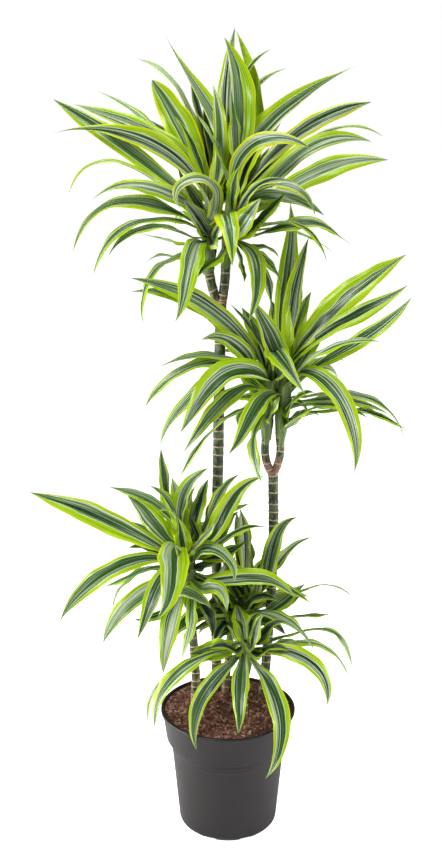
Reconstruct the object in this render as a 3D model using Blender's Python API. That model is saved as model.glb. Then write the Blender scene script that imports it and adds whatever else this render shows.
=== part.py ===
"""Potted lemon lime dracaena: five canes of different heights in a plastic nursery pot.

Metres, +Z up. The origin is the middle of the pot's underside, and -Y is the side that faces the viewer.
Each leafy head is one solid: the green shoot, or both shoots of a forked cane, with its blades grown in.
"""
import math
from functools import partial
from itertools import product
from typing import NamedTuple

import bmesh
import bpy
import numpy as np
from mathutils.bvhtree import BVHTree

# Clearance between pieces that touch in the real plant.
GAP = 0.0003

# Pot: a tapered body, a wider collar and a rolled lip.
POT_HEIGHT = 0.255
POT_WALL = 0.0022
BASE_RADIUS = 0.0925
BODY_FOOT_RADIUS = 0.1013
BODY_TOP_RADIUS = 0.1172
BODY_TOP = 0.185
COLLAR_FOOT = 0.192
COLLAR_FOOT_RADIUS = 0.1268
COLLAR_TOP_RADIUS = 0.1345
LIP_RADIUS = 0.138
LIP_DEPTH = 0.007
POT_SIDES = 32
SLOT_COUNT = 8
SLOT_WIDTH = 0.024
SLOT_HEIGHT = 0.007
SLOT_DEPTH = 0.014

# Soil: nearly flush with the lip and a little heaped in the middle.
SOIL_EDGE = 0.250
SOIL_HEAP = 0.004
SOIL_LUMP = 0.0022
SOIL_RINGS = 5

# Canes: the rings on the bark are the scars of fallen leaves.
CANE_SIDES = 9
HOLE_TOP = 0.282
RING_SPACING = 0.032
RING_HEIGHT = 0.0006
RING_SHARE = 0.28
RING_UNEVENNESS = 0.15

# Where the viewer stands, and the picture frame in which the blades' points were read.
EYE = np.array((0.0, -2.25, 1.46))
LOOK_DOWN = math.radians(15.05)
LOOK_LEFT = math.radians(0.366)
FOCAL_PIXELS = 1205.0
FRAME_MIDDLE = (221.0, 425.0)

# Blades.
RIB_THICKNESS = 0.0014
USUAL_WIDTH = 0.034
USUAL_WIDEST = 0.54
BASE_SHARE = 0.36
TIP_DRAW = 1.15
ROOT_FOLD = math.radians(48)
BLADE_FOLD = math.radians(13)
FOLD_FADE = 0.18
ROLL_EASE = 0.4
SKY_PULL = 0.25
EDGE_WAVE = 0.0022
LEVELLING = 1.7
STATION_STEP = 0.047
FEWEST_STATIONS = 5
MOST_STATIONS = 8
HIDDEN_STATIONS = 6
HIDDEN_WIDTH = 0.040
SHOOT_STATIONS = 6
SHOOT_SIDES = 8
STEEP = 0.7

# The fan of blades at the back of a shoot, in degrees: 0 is to the right and 90 is straight back.
FAN_START = 15
FAN_SPREAD = 150
FAN_TURN = 9.0
LOWEST_RISE = 25
RISE_SPREAD = 50
DROOP = 0.55
GOLDEN_TURN = 0.618034

# How blades are bent clear of each other: the shifts tried, in centimetres towards the viewer, and the
# slides along the shoot, as shares of it.
SHIFTS = (0.0, 1.0, -1.0, 2.0, -2.0, 3.0, -3.0, 4.5, -4.5)
SLIDES = (0.0, 0.10, -0.10)
LOWEST_ROOT = 0.10
ROOT_ZONE = 0.83
ROOT_STAGGER = 0.004
CLEARANCE = 0.002
ROOT_STATIONS = 1
OTHER_HEAD_COST = 30
SHIFT_COST = 0.3
SLIDE_COST = 2.0
GOOD_ENOUGH = 0.5
UP = np.array((0.0, 0.0, 1.0))


class Cane(NamedTuple):
    """A bare cane: its radius, how deep it stands, its middle line, and the arms of its fork."""
    radius: float
    foot: float
    line: tuple
    arms: tuple = ()
    arm_radius: float = 0.0


class Shoot(NamedTuple):
    """A leafy shoot: its radius at foot, middle and tip, its middle line, and how many blades of what
    length stand at its back."""
    radii: tuple
    line: tuple
    hidden: int
    reach: float


class Blade(NamedTuple):
    """A blade read in the picture: its shoot, where on it, the width seen, how far out, its points, and
    where it is widest and how far its tip is drawn out."""
    shoot: str
    at: float
    seen_cm: float
    out_cm: float
    pixels: tuple
    widest: float = USUAL_WIDEST
    draw: float = TIP_DRAW


CANES = {
    "tall_cane": Cane(
        0.0107, 0.11,
        ((-0.0245, 0.085, 0.262), (-0.0245, 0.083, 0.455), (-0.021, 0.078, 0.750), (-0.015, 0.070, 1.087)),
        (((-0.017, 0.070, 1.076), (-0.034, 0.068, 1.121), (-0.038, 0.066, 1.156)),
         ((-0.014, 0.070, 1.076), (-0.008, 0.066, 1.121), (-0.005, 0.063, 1.172))),
        0.0092),
    "middle_cane": Cane(
        0.0100, 0.11,
        ((0.0740, 0.054, 0.262), (0.0845, 0.059, 0.400), (0.0915, 0.055, 0.641), (0.089, 0.050, 0.749)),
        (((0.088, 0.050, 0.740), (0.0745, 0.049, 0.772), (0.0745, 0.048, 0.815)),
         ((0.090, 0.050, 0.740), (0.1010, 0.049, 0.772), (0.1015, 0.048, 0.815))),
        0.0080),
    "low_cane": Cane(
        0.0090, 0.11,
        ((-0.0686, 0.018, 0.262), (-0.068, 0.018, 0.349), (-0.0765, 0.015, 0.455), (-0.079, 0.012, 0.490))),
    "cut_cane": Cane(
        0.0075, 0.12,
        ((-0.0060, 0.060, 0.262), (0.002, 0.060, 0.352), (0.0096, 0.060, 0.474))),
    "front_cane": Cane(
        0.0046, 0.15,
        ((0.035, -0.048, 0.262), (0.0355, -0.049, 0.310), (0.036, -0.050, 0.350))),
}

SHOOTS = {
    "tall_left": Shoot(
        (0.0095, 0.0135, 0.007),
        ((-0.038, 0.066, 1.1563), (-0.036, 0.064, 1.22), (-0.031, 0.062, 1.290)), 9, 0.31),
    "tall_right": Shoot(
        (0.0095, 0.0135, 0.007),
        ((-0.005, 0.063, 1.1723), (0.003, 0.060, 1.23), (0.009, 0.058, 1.300)), 9, 0.31),
    "middle_left": Shoot(
        (0.0085, 0.0125, 0.007),
        ((0.0745, 0.048, 0.8153), (0.0765, 0.046, 0.880), (0.084, 0.043, 0.965)), 8, 0.30),
    "middle_right": Shoot(
        (0.0085, 0.0125, 0.007),
        ((0.1015, 0.048, 0.8153), (0.1065, 0.045, 0.880), (0.110, 0.042, 0.965)), 8, 0.30),
    "low": Shoot(
        (0.0095, 0.0135, 0.007),
        ((-0.079, 0.012, 0.4903), (-0.081, 0.010, 0.550), (-0.085, 0.010, 0.610)), 9, 0.29),
    "side": Shoot(
        (0.0045, 0.0080, 0.005),
        ((0.0128, 0.0548, 0.405), (0.0240, 0.0470, 0.410), (0.0300, 0.0430, 0.435), (0.031, 0.040, 0.490)),
        4, 0.24),
    "front": Shoot(
        (0.0050, 0.0085, 0.005),
        ((0.036, -0.050, 0.3503), (0.037, -0.050, 0.385), (0.033, -0.050, 0.425)), 2, 0.17),
}

HEAD_SHOOTS = {
    "tall_head": ("tall_left", "tall_right"),
    "middle_head": ("middle_left", "middle_right"),
    "low_head": ("low",),
    "side_head": ("side",),
    "front_head": ("front",),
}

# Each blade runs from its shoot through these picture points to its tip, the last one.
TALL_BLADES = (
    Blade("tall_left", 0.60, 3.7, 2, ((155, 170), (116, 141), (53, 99)), 0.68),
    Blade("tall_left", 0.80, 3.0, -5, ((187, 156), (129, 122), (74, 104)), 0.64),
    Blade("tall_left", 0.70, 4.2, 6, ((173, 155), (107, 129), (51, 134)), 0.40, draw=2.3),
    Blade("tall_left", 0.90, 1.9, -15, ((152, 128), (119, 102), (97, 91)), 0.60),
    Blade("tall_left", 0.95, 2.2, -14, ((180, 93), (155, 66), (137, 59)), 0.64),
    Blade("tall_left", 0.75, 5.8, -5, ((193, 154), (167, 103), (152, 80)), 0.62, draw=0.65),
    Blade("tall_left", 0.90, 3.4, -7, ((212, 109), (187, 71), (164, 32)), 0.42, draw=2.4),
    Blade("tall_left", 0.95, 3.2, -2, ((221, 130), (213, 85)), 0.52),
    Blade("tall_right", 0.90, 5.0, -5, ((243, 128), (243, 96), (224, 37)), 0.56),
    Blade("tall_right", 0.95, 3.3, -10, ((226, 103), (228, 71), (235, 27)), 0.60),
    Blade("tall_right", 0.85, 3.0, -12, ((258, 115), (252, 75), (236, 30)), 0.52),
    Blade("tall_right", 0.75, 2.2, -15, ((250, 95), (271, 75), (287, 68)), 0.60),
    Blade("tall_right", 0.70, 3.8, -7, ((261, 128), (303, 93), (358, 65)), 0.44, draw=1.9),
    Blade("tall_right", 0.60, 3.3, -3, ((281, 147), (335, 113), (372, 102)), 0.72),
    Blade("tall_right", 0.55, 1.7, -8, ((309, 140), (354, 127), (384, 137)), 0.56),
    Blade("tall_right", 0.50, 3.6, 2, ((271, 179), (320, 142), (372, 142)), 0.56),
    Blade("tall_right", 0.35, 4.1, 8, ((299, 182), (340, 165), (389, 160)), 0.66),
    Blade("tall_right", 0.65, 3.1, 10, ((236, 168), (253, 145), (280, 138), (311, 150)), 0.62),
    Blade("tall_right", 0.30, 3.0, 6, ((265, 195), (300, 201), (325, 216)), 0.56),
    Blade("tall_right", 0.40, 1.9, 11, ((250, 197), (289, 186), (316, 219)), 0.56),
    Blade("tall_right", 0.45, 2.6, 15, ((250, 195), (275, 180), (296, 183)), 0.56),
    Blade("tall_right", 0.10, 4.0, 13, ((240, 226), (261, 198)), 0.56),
    Blade("tall_right", 0.05, 2.4, 8, ((258, 224), (286, 192)), 0.56),
    Blade("tall_right", 0.20, 2.4, 8, ((265, 233), (303, 223), (342, 239)), 0.60),
    Blade("tall_right", 0.15, 1.4, 11, ((256, 228), (295, 225), (327, 262)), 0.56),
    Blade("tall_right", 0.20, 4.4, 19, ((226, 217), (231, 240), (232, 267)), 0.42),
    Blade("tall_left", 0.45, 2.9, 15, ((216, 196), (200, 179), (179, 186), (181, 209)), 0.50),
    Blade("tall_left", 0.58, 1.7, 10, ((136, 170), (102, 161), (68, 197)), 0.50),
    Blade("tall_left", 0.50, 3.3, 10, ((149, 187), (115, 187), (89, 203)), 0.44, draw=1.7),
    Blade("tall_left", 0.40, 2.7, 13, ((168, 210), (114, 204), (73, 252)), 0.46),
    Blade("tall_left", 0.30, 1.8, 15, ((159, 220), (121, 232), (93, 279)), 0.50),
    Blade("tall_left", 0.20, 1.9, 13, ((181, 233), (145, 228), (108, 257)), 0.50),
    Blade("tall_left", 0.12, 1.2, 10, ((193, 247), (165, 240), (139, 233)), 0.50),
    Blade("tall_left", 0.20, 4.5, 17, ((200, 243), (188, 280), (175, 322)), 0.42),
    Blade("tall_left", 0.08, 1.5, 11, ((177, 257), (154, 275), (144, 326)), 0.50),
    Blade("tall_right", 0.03, 2.2, 10, ((214, 262), (205, 268), (193, 283)), 0.50),
    Blade("tall_right", 0.05, 3.2, 13, ((252, 252), (258, 280), (248, 323)), 0.44),
    Blade("tall_right", 0.10, 1.4, 8, ((262, 258), (275, 271), (281, 290)), 0.50),
)

MIDDLE_BLADES = (
    Blade("middle_left", 0.72, 3.9, 8, ((240, 335), (190, 297), (130, 278)), 0.58),
    Blade("middle_left", 0.65, 3.0, 2, ((240, 345), (194, 304), (130, 292)), 0.60),
    Blade("middle_left", 0.85, 3.4, 8, ((245, 354), (220, 337), (201, 340)), 0.58),
    Blade("middle_left", 0.55, 1.9, 4, ((240, 362), (192, 357), (159, 367)), 0.60),
    Blade("middle_left", 0.55, 3.0, 8, ((226, 362), (186, 369), (145, 408)), 0.56),
    Blade("middle_left", 0.60, 4.7, 17, ((262, 374), (236, 368), (207, 388), (180, 433))),
    Blade("middle_left", 0.45, 2.6, 4, ((230, 375), (191, 396), (160, 447)), 0.56),
    Blade("middle_left", 0.45, 3.2, 15, ((245, 388), (213, 413), (183, 453)), 0.52),
    Blade("middle_left", 0.30, 1.5, 10, ((245, 410), (210, 434), (179, 479)), 0.50),
    Blade("middle_right", 0.50, 3.8, 17, ((265, 396), (245, 428), (228, 455)), 0.50),
    Blade("middle_left", 0.20, 2.4, 11, ((262, 421), (254, 448), (262, 483)), 0.50),
    Blade("middle_right", 1.00, 3.9, -5, ((284, 300), (291, 245), (290, 202)), 0.52),
    Blade("middle_right", 0.95, 3.4, -3, ((288, 330), (294, 290), (309, 237)), 0.50),
    Blade("middle_right", 0.85, 5.3, 2, ((306, 338), (346, 297), (407, 254)), 0.56),
    Blade("middle_right", 0.75, 3.2, 6, ((298, 356), (346, 321), (409, 284)), 0.64),
    Blade("middle_right", 0.65, 3.2, 10, ((306, 373), (362, 340), (412, 297)), 0.62),
    Blade("middle_right", 0.60, 2.3, 13, ((295, 377), (338, 345), (381, 342)), 0.56),
    Blade("middle_right", 0.65, 4.0, 21, ((314, 373), (346, 408), (354, 473)), 0.52),
    Blade("middle_right", 0.45, 1.5, 6, ((320, 395), (362, 397), (406, 443)), 0.50),
    Blade("middle_right", 0.40, 2.0, -3, ((320, 400), (352, 401), (389, 415)), 0.56),
    Blade("middle_right", 0.35, 2.0, 6, ((315, 405), (342, 407), (368, 418)), 0.56),
    Blade("middle_right", 0.20, 1.0, 10, ((285, 428), (306, 413), (330, 409)), 0.50),
    Blade("middle_right", 0.80, 4.2, 19, ((276, 354), (288, 370), (305, 394)), 0.44),
    Blade("middle_left", 0.60, 4.2, 10, ((277, 350), (266, 326), (252, 297))),
)

LOW_BLADES = (
    Blade("low", 0.55, 4.9, -2, ((146, 541), (90, 514), (29, 492)), 0.58),
    Blade("low", 0.70, 2.5, -7, ((160, 508), (139, 496), (108, 487)), 0.60),
    Blade("low", 0.80, 4.1, -3, ((173, 545), (150, 517), (127, 496)), 0.56),
    Blade("low", 0.92, 2.3, -7, ((173, 520), (164, 485), (161, 447)), 0.60),
    Blade("low", 0.90, 1.6, 2, ((178, 535), (169, 510), (157, 512)), 0.50),
    Blade("low", 1.00, 3.0, -3, ((180, 506), (190, 482), (209, 468)), 0.56),
    Blade("low", 0.60, 3.6, 2, ((184, 545), (178, 517)), 0.50),
    Blade("low", 0.60, 6.2, 20, ((174, 550), (172, 586), (156, 620)), 0.42),
    Blade("low", 0.45, 3.9, 7, ((146, 559), (100, 577), (60, 621)), 0.56),
    Blade("low", 0.35, 2.4, -2, ((157, 569), (130, 577), (104, 587)), 0.56),
    Blade("low", 0.30, 1.2, 2, ((150, 570), (132, 578), (113, 618)), 0.50),
    Blade("low", 0.35, 3.6, 10, ((150, 588), (122, 610), (103, 644))),
    Blade("low", 0.25, 3.4, 13, ((166, 572), (150, 602), (137, 640)), 0.50),
    Blade("low", 0.20, 4.0, 14, ((182, 592), (171, 620), (163, 675)), 0.48),
    Blade("low", 0.10, 3.0, 11, ((180, 589), (194, 595), (211, 609)), 0.50),
    Blade("low", 0.80, 4.0, 2, ((204, 545), (228, 505), (265, 476)), 0.46),
    Blade("low", 0.95, 2.4, -7, ((210, 517), (222, 490), (241, 474))),
    Blade("low", 0.50, 3.3, 12, ((194, 560), (205, 548), (222, 553), (233, 583)), 0.50),
    Blade("low", 0.60, 2.2, 5, ((217, 547), (240, 531), (267, 527))),
    Blade("low", 0.30, 3.5, 8, ((228, 578), (262, 577), (296, 599)), 0.50),
)

SIDE_BLADES = (
    Blade("side", 0.80, 3.6, 2, ((250, 600), (270, 559), (298, 517))),
    Blade("side", 0.80, 2.6, -3, ((262, 585), (284, 555), (312, 537)), 0.56),
    Blade("side", 0.60, 3.0, 5, ((254, 605), (270, 590))),
    Blade("side", 1.00, 3.2, -3, ((245, 560), (240, 508)), 0.56),
    Blade("side", 0.50, 3.1, 6, ((266, 612), (288, 598), (306, 583)), 0.56),
    Blade("side", 0.40, 2.0, 2, ((270, 612), (302, 594)), 0.56),
    Blade("side", 0.40, 1.0, 5, ((278, 606), (316, 586), (356, 600)), 0.50),
    Blade("side", 0.35, 1.8, -2, ((285, 618), (332, 614)), 0.60),
    Blade("side", 0.45, 2.4, 10, ((265, 613), (294, 626), (315, 651))),
    Blade("side", 0.40, 3.7, 8, ((215, 611), (193, 617), (168, 645)), 0.50),
)

FRONT_BLADES = (
    Blade("front", 0.80, 1.6, 0, ((270, 642), (318, 630), (353, 670))),
    Blade("front", 0.70, 2.0, 4, ((265, 650), (300, 643), (350, 678))),
    Blade("front", 0.60, 3.5, 8, ((280, 650), (314, 665), (327, 706))),
    Blade("front", 0.40, 4.0, 12, ((262, 673), (281, 719), (265, 779)), 0.38),
    Blade("front", 0.60, 3.6, 10, ((243, 664), (240, 700), (238, 735)), 0.36),
    Blade("front", 0.50, 3.4, 8, ((226, 668), (203, 695), (197, 751)), 0.40),
    Blade("front", 0.90, 4.4, 2, ((215, 650), (189, 654)), 0.50),
    Blade("front", 0.60, 2.8, 6, ((210, 655), (174, 677), (155, 729))),
    Blade("front", 0.45, 1.5, 9, ((200, 662), (165, 680), (148, 725)), 0.50),
)

ALL_BLADES = TALL_BLADES + MIDDLE_BLADES + LOW_BLADES + SIDE_BLADES + FRONT_BLADES


def clear_scene():
    """Start from nothing."""
    for item in list(bpy.data.objects):
        bpy.data.objects.remove(item, do_unlink=True)


def material(name, colour, roughness):
    """A Principled material of one colour."""
    made = bpy.data.materials.new(name)
    made.use_nodes = True
    shader = made.node_tree.nodes["Principled BSDF"]
    shader.inputs["Base Color"].default_value = (*colour, 1.0)
    shader.inputs["Roughness"].default_value = roughness
    shader.inputs["Metallic"].default_value = 0.0
    return made


def mesh_object(name, points, faces):
    """An object in the scene from its points and faces."""
    mesh = bpy.data.meshes.new(name)
    mesh.from_pydata([tuple(point) for point in points], [], faces)
    made = bpy.data.objects.new(name, mesh)
    bpy.context.scene.collection.objects.link(made)
    return made


def finish(piece, look, sharp_angle):
    """Give a piece its material, and smooth shading up to the sharp angle."""
    piece.data.materials.clear()
    piece.data.materials.append(look)
    piece.data.shade_smooth()
    piece.data.set_sharp_from_angle(angle=math.radians(sharp_angle))


def union(name, pieces, solver="EXACT"):
    """One closed body from the first piece and all the others, which are then removed. Heads of dozens of
    crossing blades come out open from the exact solver, so they take the manifold one."""
    body, others = pieces[0], pieces[1:]
    group = bpy.data.collections.new(name + "_joined")
    bpy.context.scene.collection.children.link(group)
    for other in others:
        group.objects.link(other)
    join = body.modifiers.new("join", "BOOLEAN")
    join.operation = "UNION"
    join.operand_type = "COLLECTION"
    join.collection = group
    join.solver = solver
    with bpy.context.temp_override(object=body):
        bpy.ops.object.modifier_apply(modifier=join.name)
    for other in others:
        bpy.data.objects.remove(other, do_unlink=True)
    bpy.data.collections.remove(group)
    body.name = name
    return body


def cut(body, cutter):
    """Take the cutter's shape out of the body, and remove the cutter."""
    difference = body.modifiers.new("cut", "BOOLEAN")
    difference.operation = "DIFFERENCE"
    difference.object = cutter
    difference.solver = "EXACT"
    with bpy.context.temp_override(object=body):
        bpy.ops.object.modifier_apply(modifier=difference.name)
    bpy.data.objects.remove(cutter, do_unlink=True)


def turned(name, profile):
    """A solid of revolution from (radius, height) points that start and end on the axis."""
    points = [(0.0, 0.0, profile[0][1])]
    for radius, height in profile[1:-1]:
        for side in range(POT_SIDES):
            angle = math.tau * side / POT_SIDES
            points.append((radius * math.cos(angle), radius * math.sin(angle), height))
    points.append((0.0, 0.0, profile[-1][1]))
    last_ring = 1 + (len(profile) - 3) * POT_SIDES
    faces = []
    for side in range(POT_SIDES):
        after = (side + 1) % POT_SIDES
        faces.append((0, 1 + after, 1 + side))
        faces.append((len(points) - 1, last_ring + side, last_ring + after))
        for ring in range(1, last_ring, POT_SIDES):
            faces.append((ring + side, ring + after, ring + POT_SIDES + after, ring + POT_SIDES + side))
    return mesh_object(name, points, faces)


def pot_inside():
    """The pot's inner wall from the floor up, as (radius, height) points."""
    return (
        (BASE_RADIUS - POT_WALL, POT_WALL),
        (BODY_FOOT_RADIUS - POT_WALL, 0.016),
        (BODY_TOP_RADIUS - POT_WALL, BODY_TOP + POT_WALL),
        (COLLAR_FOOT_RADIUS - POT_WALL, COLLAR_FOOT + POT_WALL),
        (COLLAR_TOP_RADIUS - POT_WALL, POT_HEIGHT - 0.001),
    )


def make_pot():
    """The moulded pot: a turned wall with a collar and a rolled lip, and drainage slots at its foot."""
    flange = POT_HEIGHT - LIP_DEPTH
    outside = (
        (0.0, 0.0),
        (BASE_RADIUS, 0.0),
        (BODY_FOOT_RADIUS - 0.0030, 0.004),
        (BODY_FOOT_RADIUS, 0.014),
        (BODY_TOP_RADIUS, BODY_TOP),
        (COLLAR_FOOT_RADIUS, COLLAR_FOOT),
        (COLLAR_TOP_RADIUS, flange),
        (LIP_RADIUS - 0.0010, flange),
        (LIP_RADIUS, flange + 0.0020),
        (LIP_RADIUS, POT_HEIGHT - 0.0020),
        (LIP_RADIUS - 0.0015, POT_HEIGHT),
        (COLLAR_TOP_RADIUS - POT_WALL + 0.001, POT_HEIGHT),
    )
    pot = turned("pot", outside + tuple(reversed(pot_inside())) + ((0.0, POT_WALL),))
    cut(pot, slot_cutters())
    return pot


def slot_cutters():
    """Blocks across the bottom edge, which leave the drainage slots between the feet of the wall."""
    cutter = bmesh.new()
    for slot in range(SLOT_COUNT):
        angle = math.tau * (slot + 0.5) / SLOT_COUNT
        block = bmesh.ops.create_cube(cutter, size=1.0)["verts"]
        bmesh.ops.scale(cutter, verts=block, vec=(SLOT_DEPTH, SLOT_WIDTH, 2 * SLOT_HEIGHT))
        bmesh.ops.translate(cutter, verts=block, vec=(BASE_RADIUS + POT_WALL / 2, 0.0, 0.0))
        turn = ((math.cos(angle), -math.sin(angle), 0), (math.sin(angle), math.cos(angle), 0), (0, 0, 1))
        for vertex in block:
            vertex.co = [sum(row[axis] * vertex.co[axis] for axis in range(3)) for row in turn]
    mesh = bpy.data.meshes.new("slots")
    cutter.to_mesh(mesh)
    cutter.free()
    made = bpy.data.objects.new("slots", mesh)
    bpy.context.scene.collection.objects.link(made)
    return made


def soil_height(radius, angle, edge_radius):
    """The heap, with lumps as a sum of waves that fade to nothing at the wall."""
    share = radius / edge_radius
    waves = ((5, 23), (3, -31), (9, 11))
    lumps = sum(math.sin(around * angle + outward * share) for around, outward in waves)
    return SOIL_EDGE + SOIL_HEAP * (1 - share ** 2) + SOIL_LUMP * lumps / len(waves) * (1 - share ** 6)


def make_soil():
    """The fill inside the pot: its sides keep the clearance to the wall, its top is the heap."""
    inside = pot_inside()
    sides = [(radius - GAP, height + GAP) for radius, height in inside[:-1]]
    low, high = inside[-2], inside[-1]
    share = (SOIL_EDGE - low[1]) / (high[1] - low[1])
    edge = low[0] + (high[0] - low[0]) * share - 2 * GAP
    rings = [edge * (1 - ring / SOIL_RINGS) for ring in range(SOIL_RINGS)]
    profile = [(0.0, POT_WALL + GAP)] + sides + [(radius, SOIL_EDGE) for radius in rings] + [(0.0, SOIL_EDGE)]
    soil = turned("soil", profile)
    for vertex in soil.data.vertices:
        if vertex.co.z > SOIL_EDGE - 0.001:
            radius = math.hypot(vertex.co.x, vertex.co.y)
            vertex.co.z = soil_height(radius, math.atan2(vertex.co.y, vertex.co.x), edge)
    for cane in CANES.values():
        cut(soil, hole_cutter(cane))
    return soil


def hole_cutter(cane):
    """The plain hole that a cane stands in."""
    x, y, _ = cane.line[0]
    radius = cane.radius + GAP / math.cos(math.pi / CANE_SIDES)
    line = np.array(((x, y, cane.foot - GAP), (x, y, HOLE_TOP)))
    return tube("hole", line, np.full(2, radius), CANE_SIDES)


def unit(vectors):
    """The vectors at length one."""
    return vectors / np.linalg.norm(vectors, axis=-1, keepdims=True)


def square_to(vectors, tangents):
    """The part of each vector that is square to its tangent, at length one."""
    along = np.sum(vectors * tangents, axis=-1, keepdims=True)
    return unit(vectors - along * tangents)


def smooth_line(points, shares):
    """The polynomial through the points, read at shares of its length: places, tangents, and the length."""
    points = np.asarray(points, dtype=float)
    chords = np.concatenate(((0.0,), np.cumsum(np.linalg.norm(np.diff(points, axis=0), axis=1))))
    chords /= chords[-1]
    curve = np.polyfit(chords, points, len(points) - 1)
    fine = np.linspace(0.0, 1.0, 81)
    powers = np.vander(fine, len(points))
    places = powers @ curve
    walked = np.concatenate(((0.0,), np.cumsum(np.linalg.norm(np.diff(places, axis=0), axis=1))))
    at = np.interp(shares, walked / walked[-1], fine)
    centres = np.vander(at, len(points)) @ curve
    ahead = np.vander(np.minimum(at + 0.01, 1.0), len(points)) @ curve
    behind = np.vander(np.maximum(at - 0.01, 0.0), len(points)) @ curve
    return centres, unit(ahead - behind), walked[-1]


def tube(name, centres, radii, sides, tangents=None):
    """A closed round body of the given radii along a middle line."""
    if tangents is None:
        tangents = unit(np.gradient(centres, axis=0))
    across = square_to(np.broadcast_to((1.0, 0.0, 0.0), tangents.shape), tangents)
    over = np.cross(tangents, across)
    angles = np.arange(sides) * math.tau / sides
    rings = (across[:, None] * np.cos(angles)[None, :, None] + over[:, None] * np.sin(angles)[None, :, None])
    points = (centres[:, None] + rings * np.asarray(radii)[:, None, None]).reshape(-1, 3)
    faces = [tuple(range(sides - 1, -1, -1))]
    for ring in range(len(centres) - 1):
        for side in range(sides):
            here, there = ring * sides + side, ring * sides + (side + 1) % sides
            faces.append((here, there, there + sides, here + sides))
    faces.append(tuple(range(len(points) - sides, len(points))))
    return mesh_object(name, points, faces)


def ringed(line, radius, name, foot=None):
    """Bark with a raised scar at uneven steps, cut level on top; a foot goes straight down into the soil."""
    _, _, length = smooth_line(line, (0.0,))
    count = max(2, round(length / RING_SPACING))
    order = np.arange(count)
    steps = (order + 0.45 + RING_UNEVENNESS * np.sin(2.4 * order)) / count
    shares = np.sort(np.concatenate(((0.0,), steps, steps + RING_SHARE / count, (1.0,))))
    centres, tangents, _ = smooth_line(line, shares)
    tangents[-1] = UP
    raised = np.isin(shares, steps)
    radii = np.where(raised, radius + RING_HEIGHT, radius)
    if foot is not None:
        below = np.array(((*line[0][:2], foot),))
        centres = np.concatenate((below, centres))
        tangents = np.concatenate((UP[None], UP[None], tangents[1:]))
        radii = np.concatenate(((radius,), radii))
    return tube(name, centres, radii, CANE_SIDES, tangents)


def make_cane(name):
    """A cane with its bark rings, and the two arms of its fork where it has one."""
    cane = CANES[name]
    trunk = ringed(cane.line, cane.radius, name, cane.foot)
    if not cane.arms:
        return trunk
    arms = [ringed(line, cane.arm_radius, name + "_arm") for line in cane.arms]
    return union(name, [trunk] + arms)


def sight_point(pixel, depth):
    """The point on the viewer's sight line through a pixel where Y is the given depth."""
    right = np.array((math.cos(LOOK_LEFT), math.sin(LOOK_LEFT), 0.0))
    level = np.array((-math.sin(LOOK_LEFT), math.cos(LOOK_LEFT), 0.0))
    ahead = level * math.cos(LOOK_DOWN) - UP * math.sin(LOOK_DOWN)
    upward = np.cross(right, ahead)
    across = (pixel[0] - FRAME_MIDDLE[0]) / FOCAL_PIXELS
    above = (FRAME_MIDDLE[1] - pixel[1]) / FOCAL_PIXELS
    sight = ahead + right * across + upward * above
    return EYE + sight * (depth - EYE[1]) / sight[1]


def shoot_line(shoot, share):
    """Where a share of the shoot's length is, and the way that the shoot grows there."""
    centres, tangents, _ = smooth_line(shoot.line, (share,))
    return centres[0], tangents[0]


def near_line(blade, order, shift, slide):
    """The root and the picture points in space: the blade comes out fast at first, then levels off."""
    at = min(max(blade.at + slide, 0.0), 1.0) + ROOT_STAGGER * (order % 7)
    root, stem = shoot_line(SHOOTS[blade.shoot], LOWEST_ROOT + ROOT_ZONE * at)
    flat = [np.array(sight_point(pixel, root[1])) for pixel in blade.pixels]
    walked = np.cumsum([np.linalg.norm(b - a) for a, b in zip([root] + flat, flat)])
    out = (blade.out_cm + shift) / 100 * (1 - (1 - walked / walked[-1]) ** LEVELLING)
    points = [sight_point(pixel, root[1] - step) for pixel, step in zip(blade.pixels, out)]
    return [root] + points, stem


def upper_face(centres, tangents, stem, seen_share):
    """Which way the upper face looks: towards the stem at the root, then rolled to the viewer."""
    towards = unit(EYE - centres) + SKY_PULL * UP
    facing = square_to(towards, tangents)
    side = np.cross(tangents, facing)
    roll = math.acos(min(seen_share, 1.0))
    rolled = [facing * math.cos(roll) + side * math.sin(roll) * turn for turn in (1.0, -1.0)]
    best = max(rolled, key=lambda face: face[:, 2].mean())
    clasping = square_to(np.broadcast_to(stem, tangents.shape), tangents)
    walked = np.linspace(0.0, 1.0, len(centres))[:, None]
    ease = np.clip(walked / ROLL_EASE, 0.0, 1.0)
    ease = ease * ease * (3 - 2 * ease)
    return square_to(clasping * (1 - ease) + best * ease, tangents)


def blade_width(shares, widest, draw):
    """The outline: a narrow clasping base, widest near the middle, then a tip more or less drawn out."""
    climb = np.clip(shares / widest, 0.0, 1.0)
    rising = BASE_SHARE + (1 - BASE_SHARE) * climb * climb * (3 - 2 * climb)
    past = np.clip((shares - widest) / (1 - widest), 0.0, 1.0)
    falling = (1 - past ** 2) ** draw
    return np.where(shares < widest, rising, falling)


def blade_rings(centres, tangents, faces_up, width, outline, phase):
    """Left edge, rib top, right edge and rib underside at each station of a folded, waved blade."""
    shares = np.linspace(0.0, 1.0, len(centres))
    half = (width / 2 * blade_width(shares, *outline))[:, None]
    fold = (BLADE_FOLD + (ROOT_FOLD - BLADE_FOLD) * np.exp(-shares / FOLD_FADE))[:, None]
    across = np.cross(tangents, faces_up)
    swell = (EDGE_WAVE * np.sin(math.pi * shares))[:, None]
    left_wave = swell * np.sin(11.0 * shares + phase)[:, None]
    right_wave = swell * np.sin(13.0 * shares + 2.1 * phase)[:, None]
    left = centres - across * half * np.cos(fold) + faces_up * (half * np.sin(fold) + left_wave)
    right = centres + across * half * np.cos(fold) + faces_up * (half * np.sin(fold) + right_wave)
    top = centres + faces_up * RIB_THICKNESS / 2
    bottom = centres - faces_up * RIB_THICKNESS / 2
    return np.stack((left, top, right, bottom), axis=1)


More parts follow.
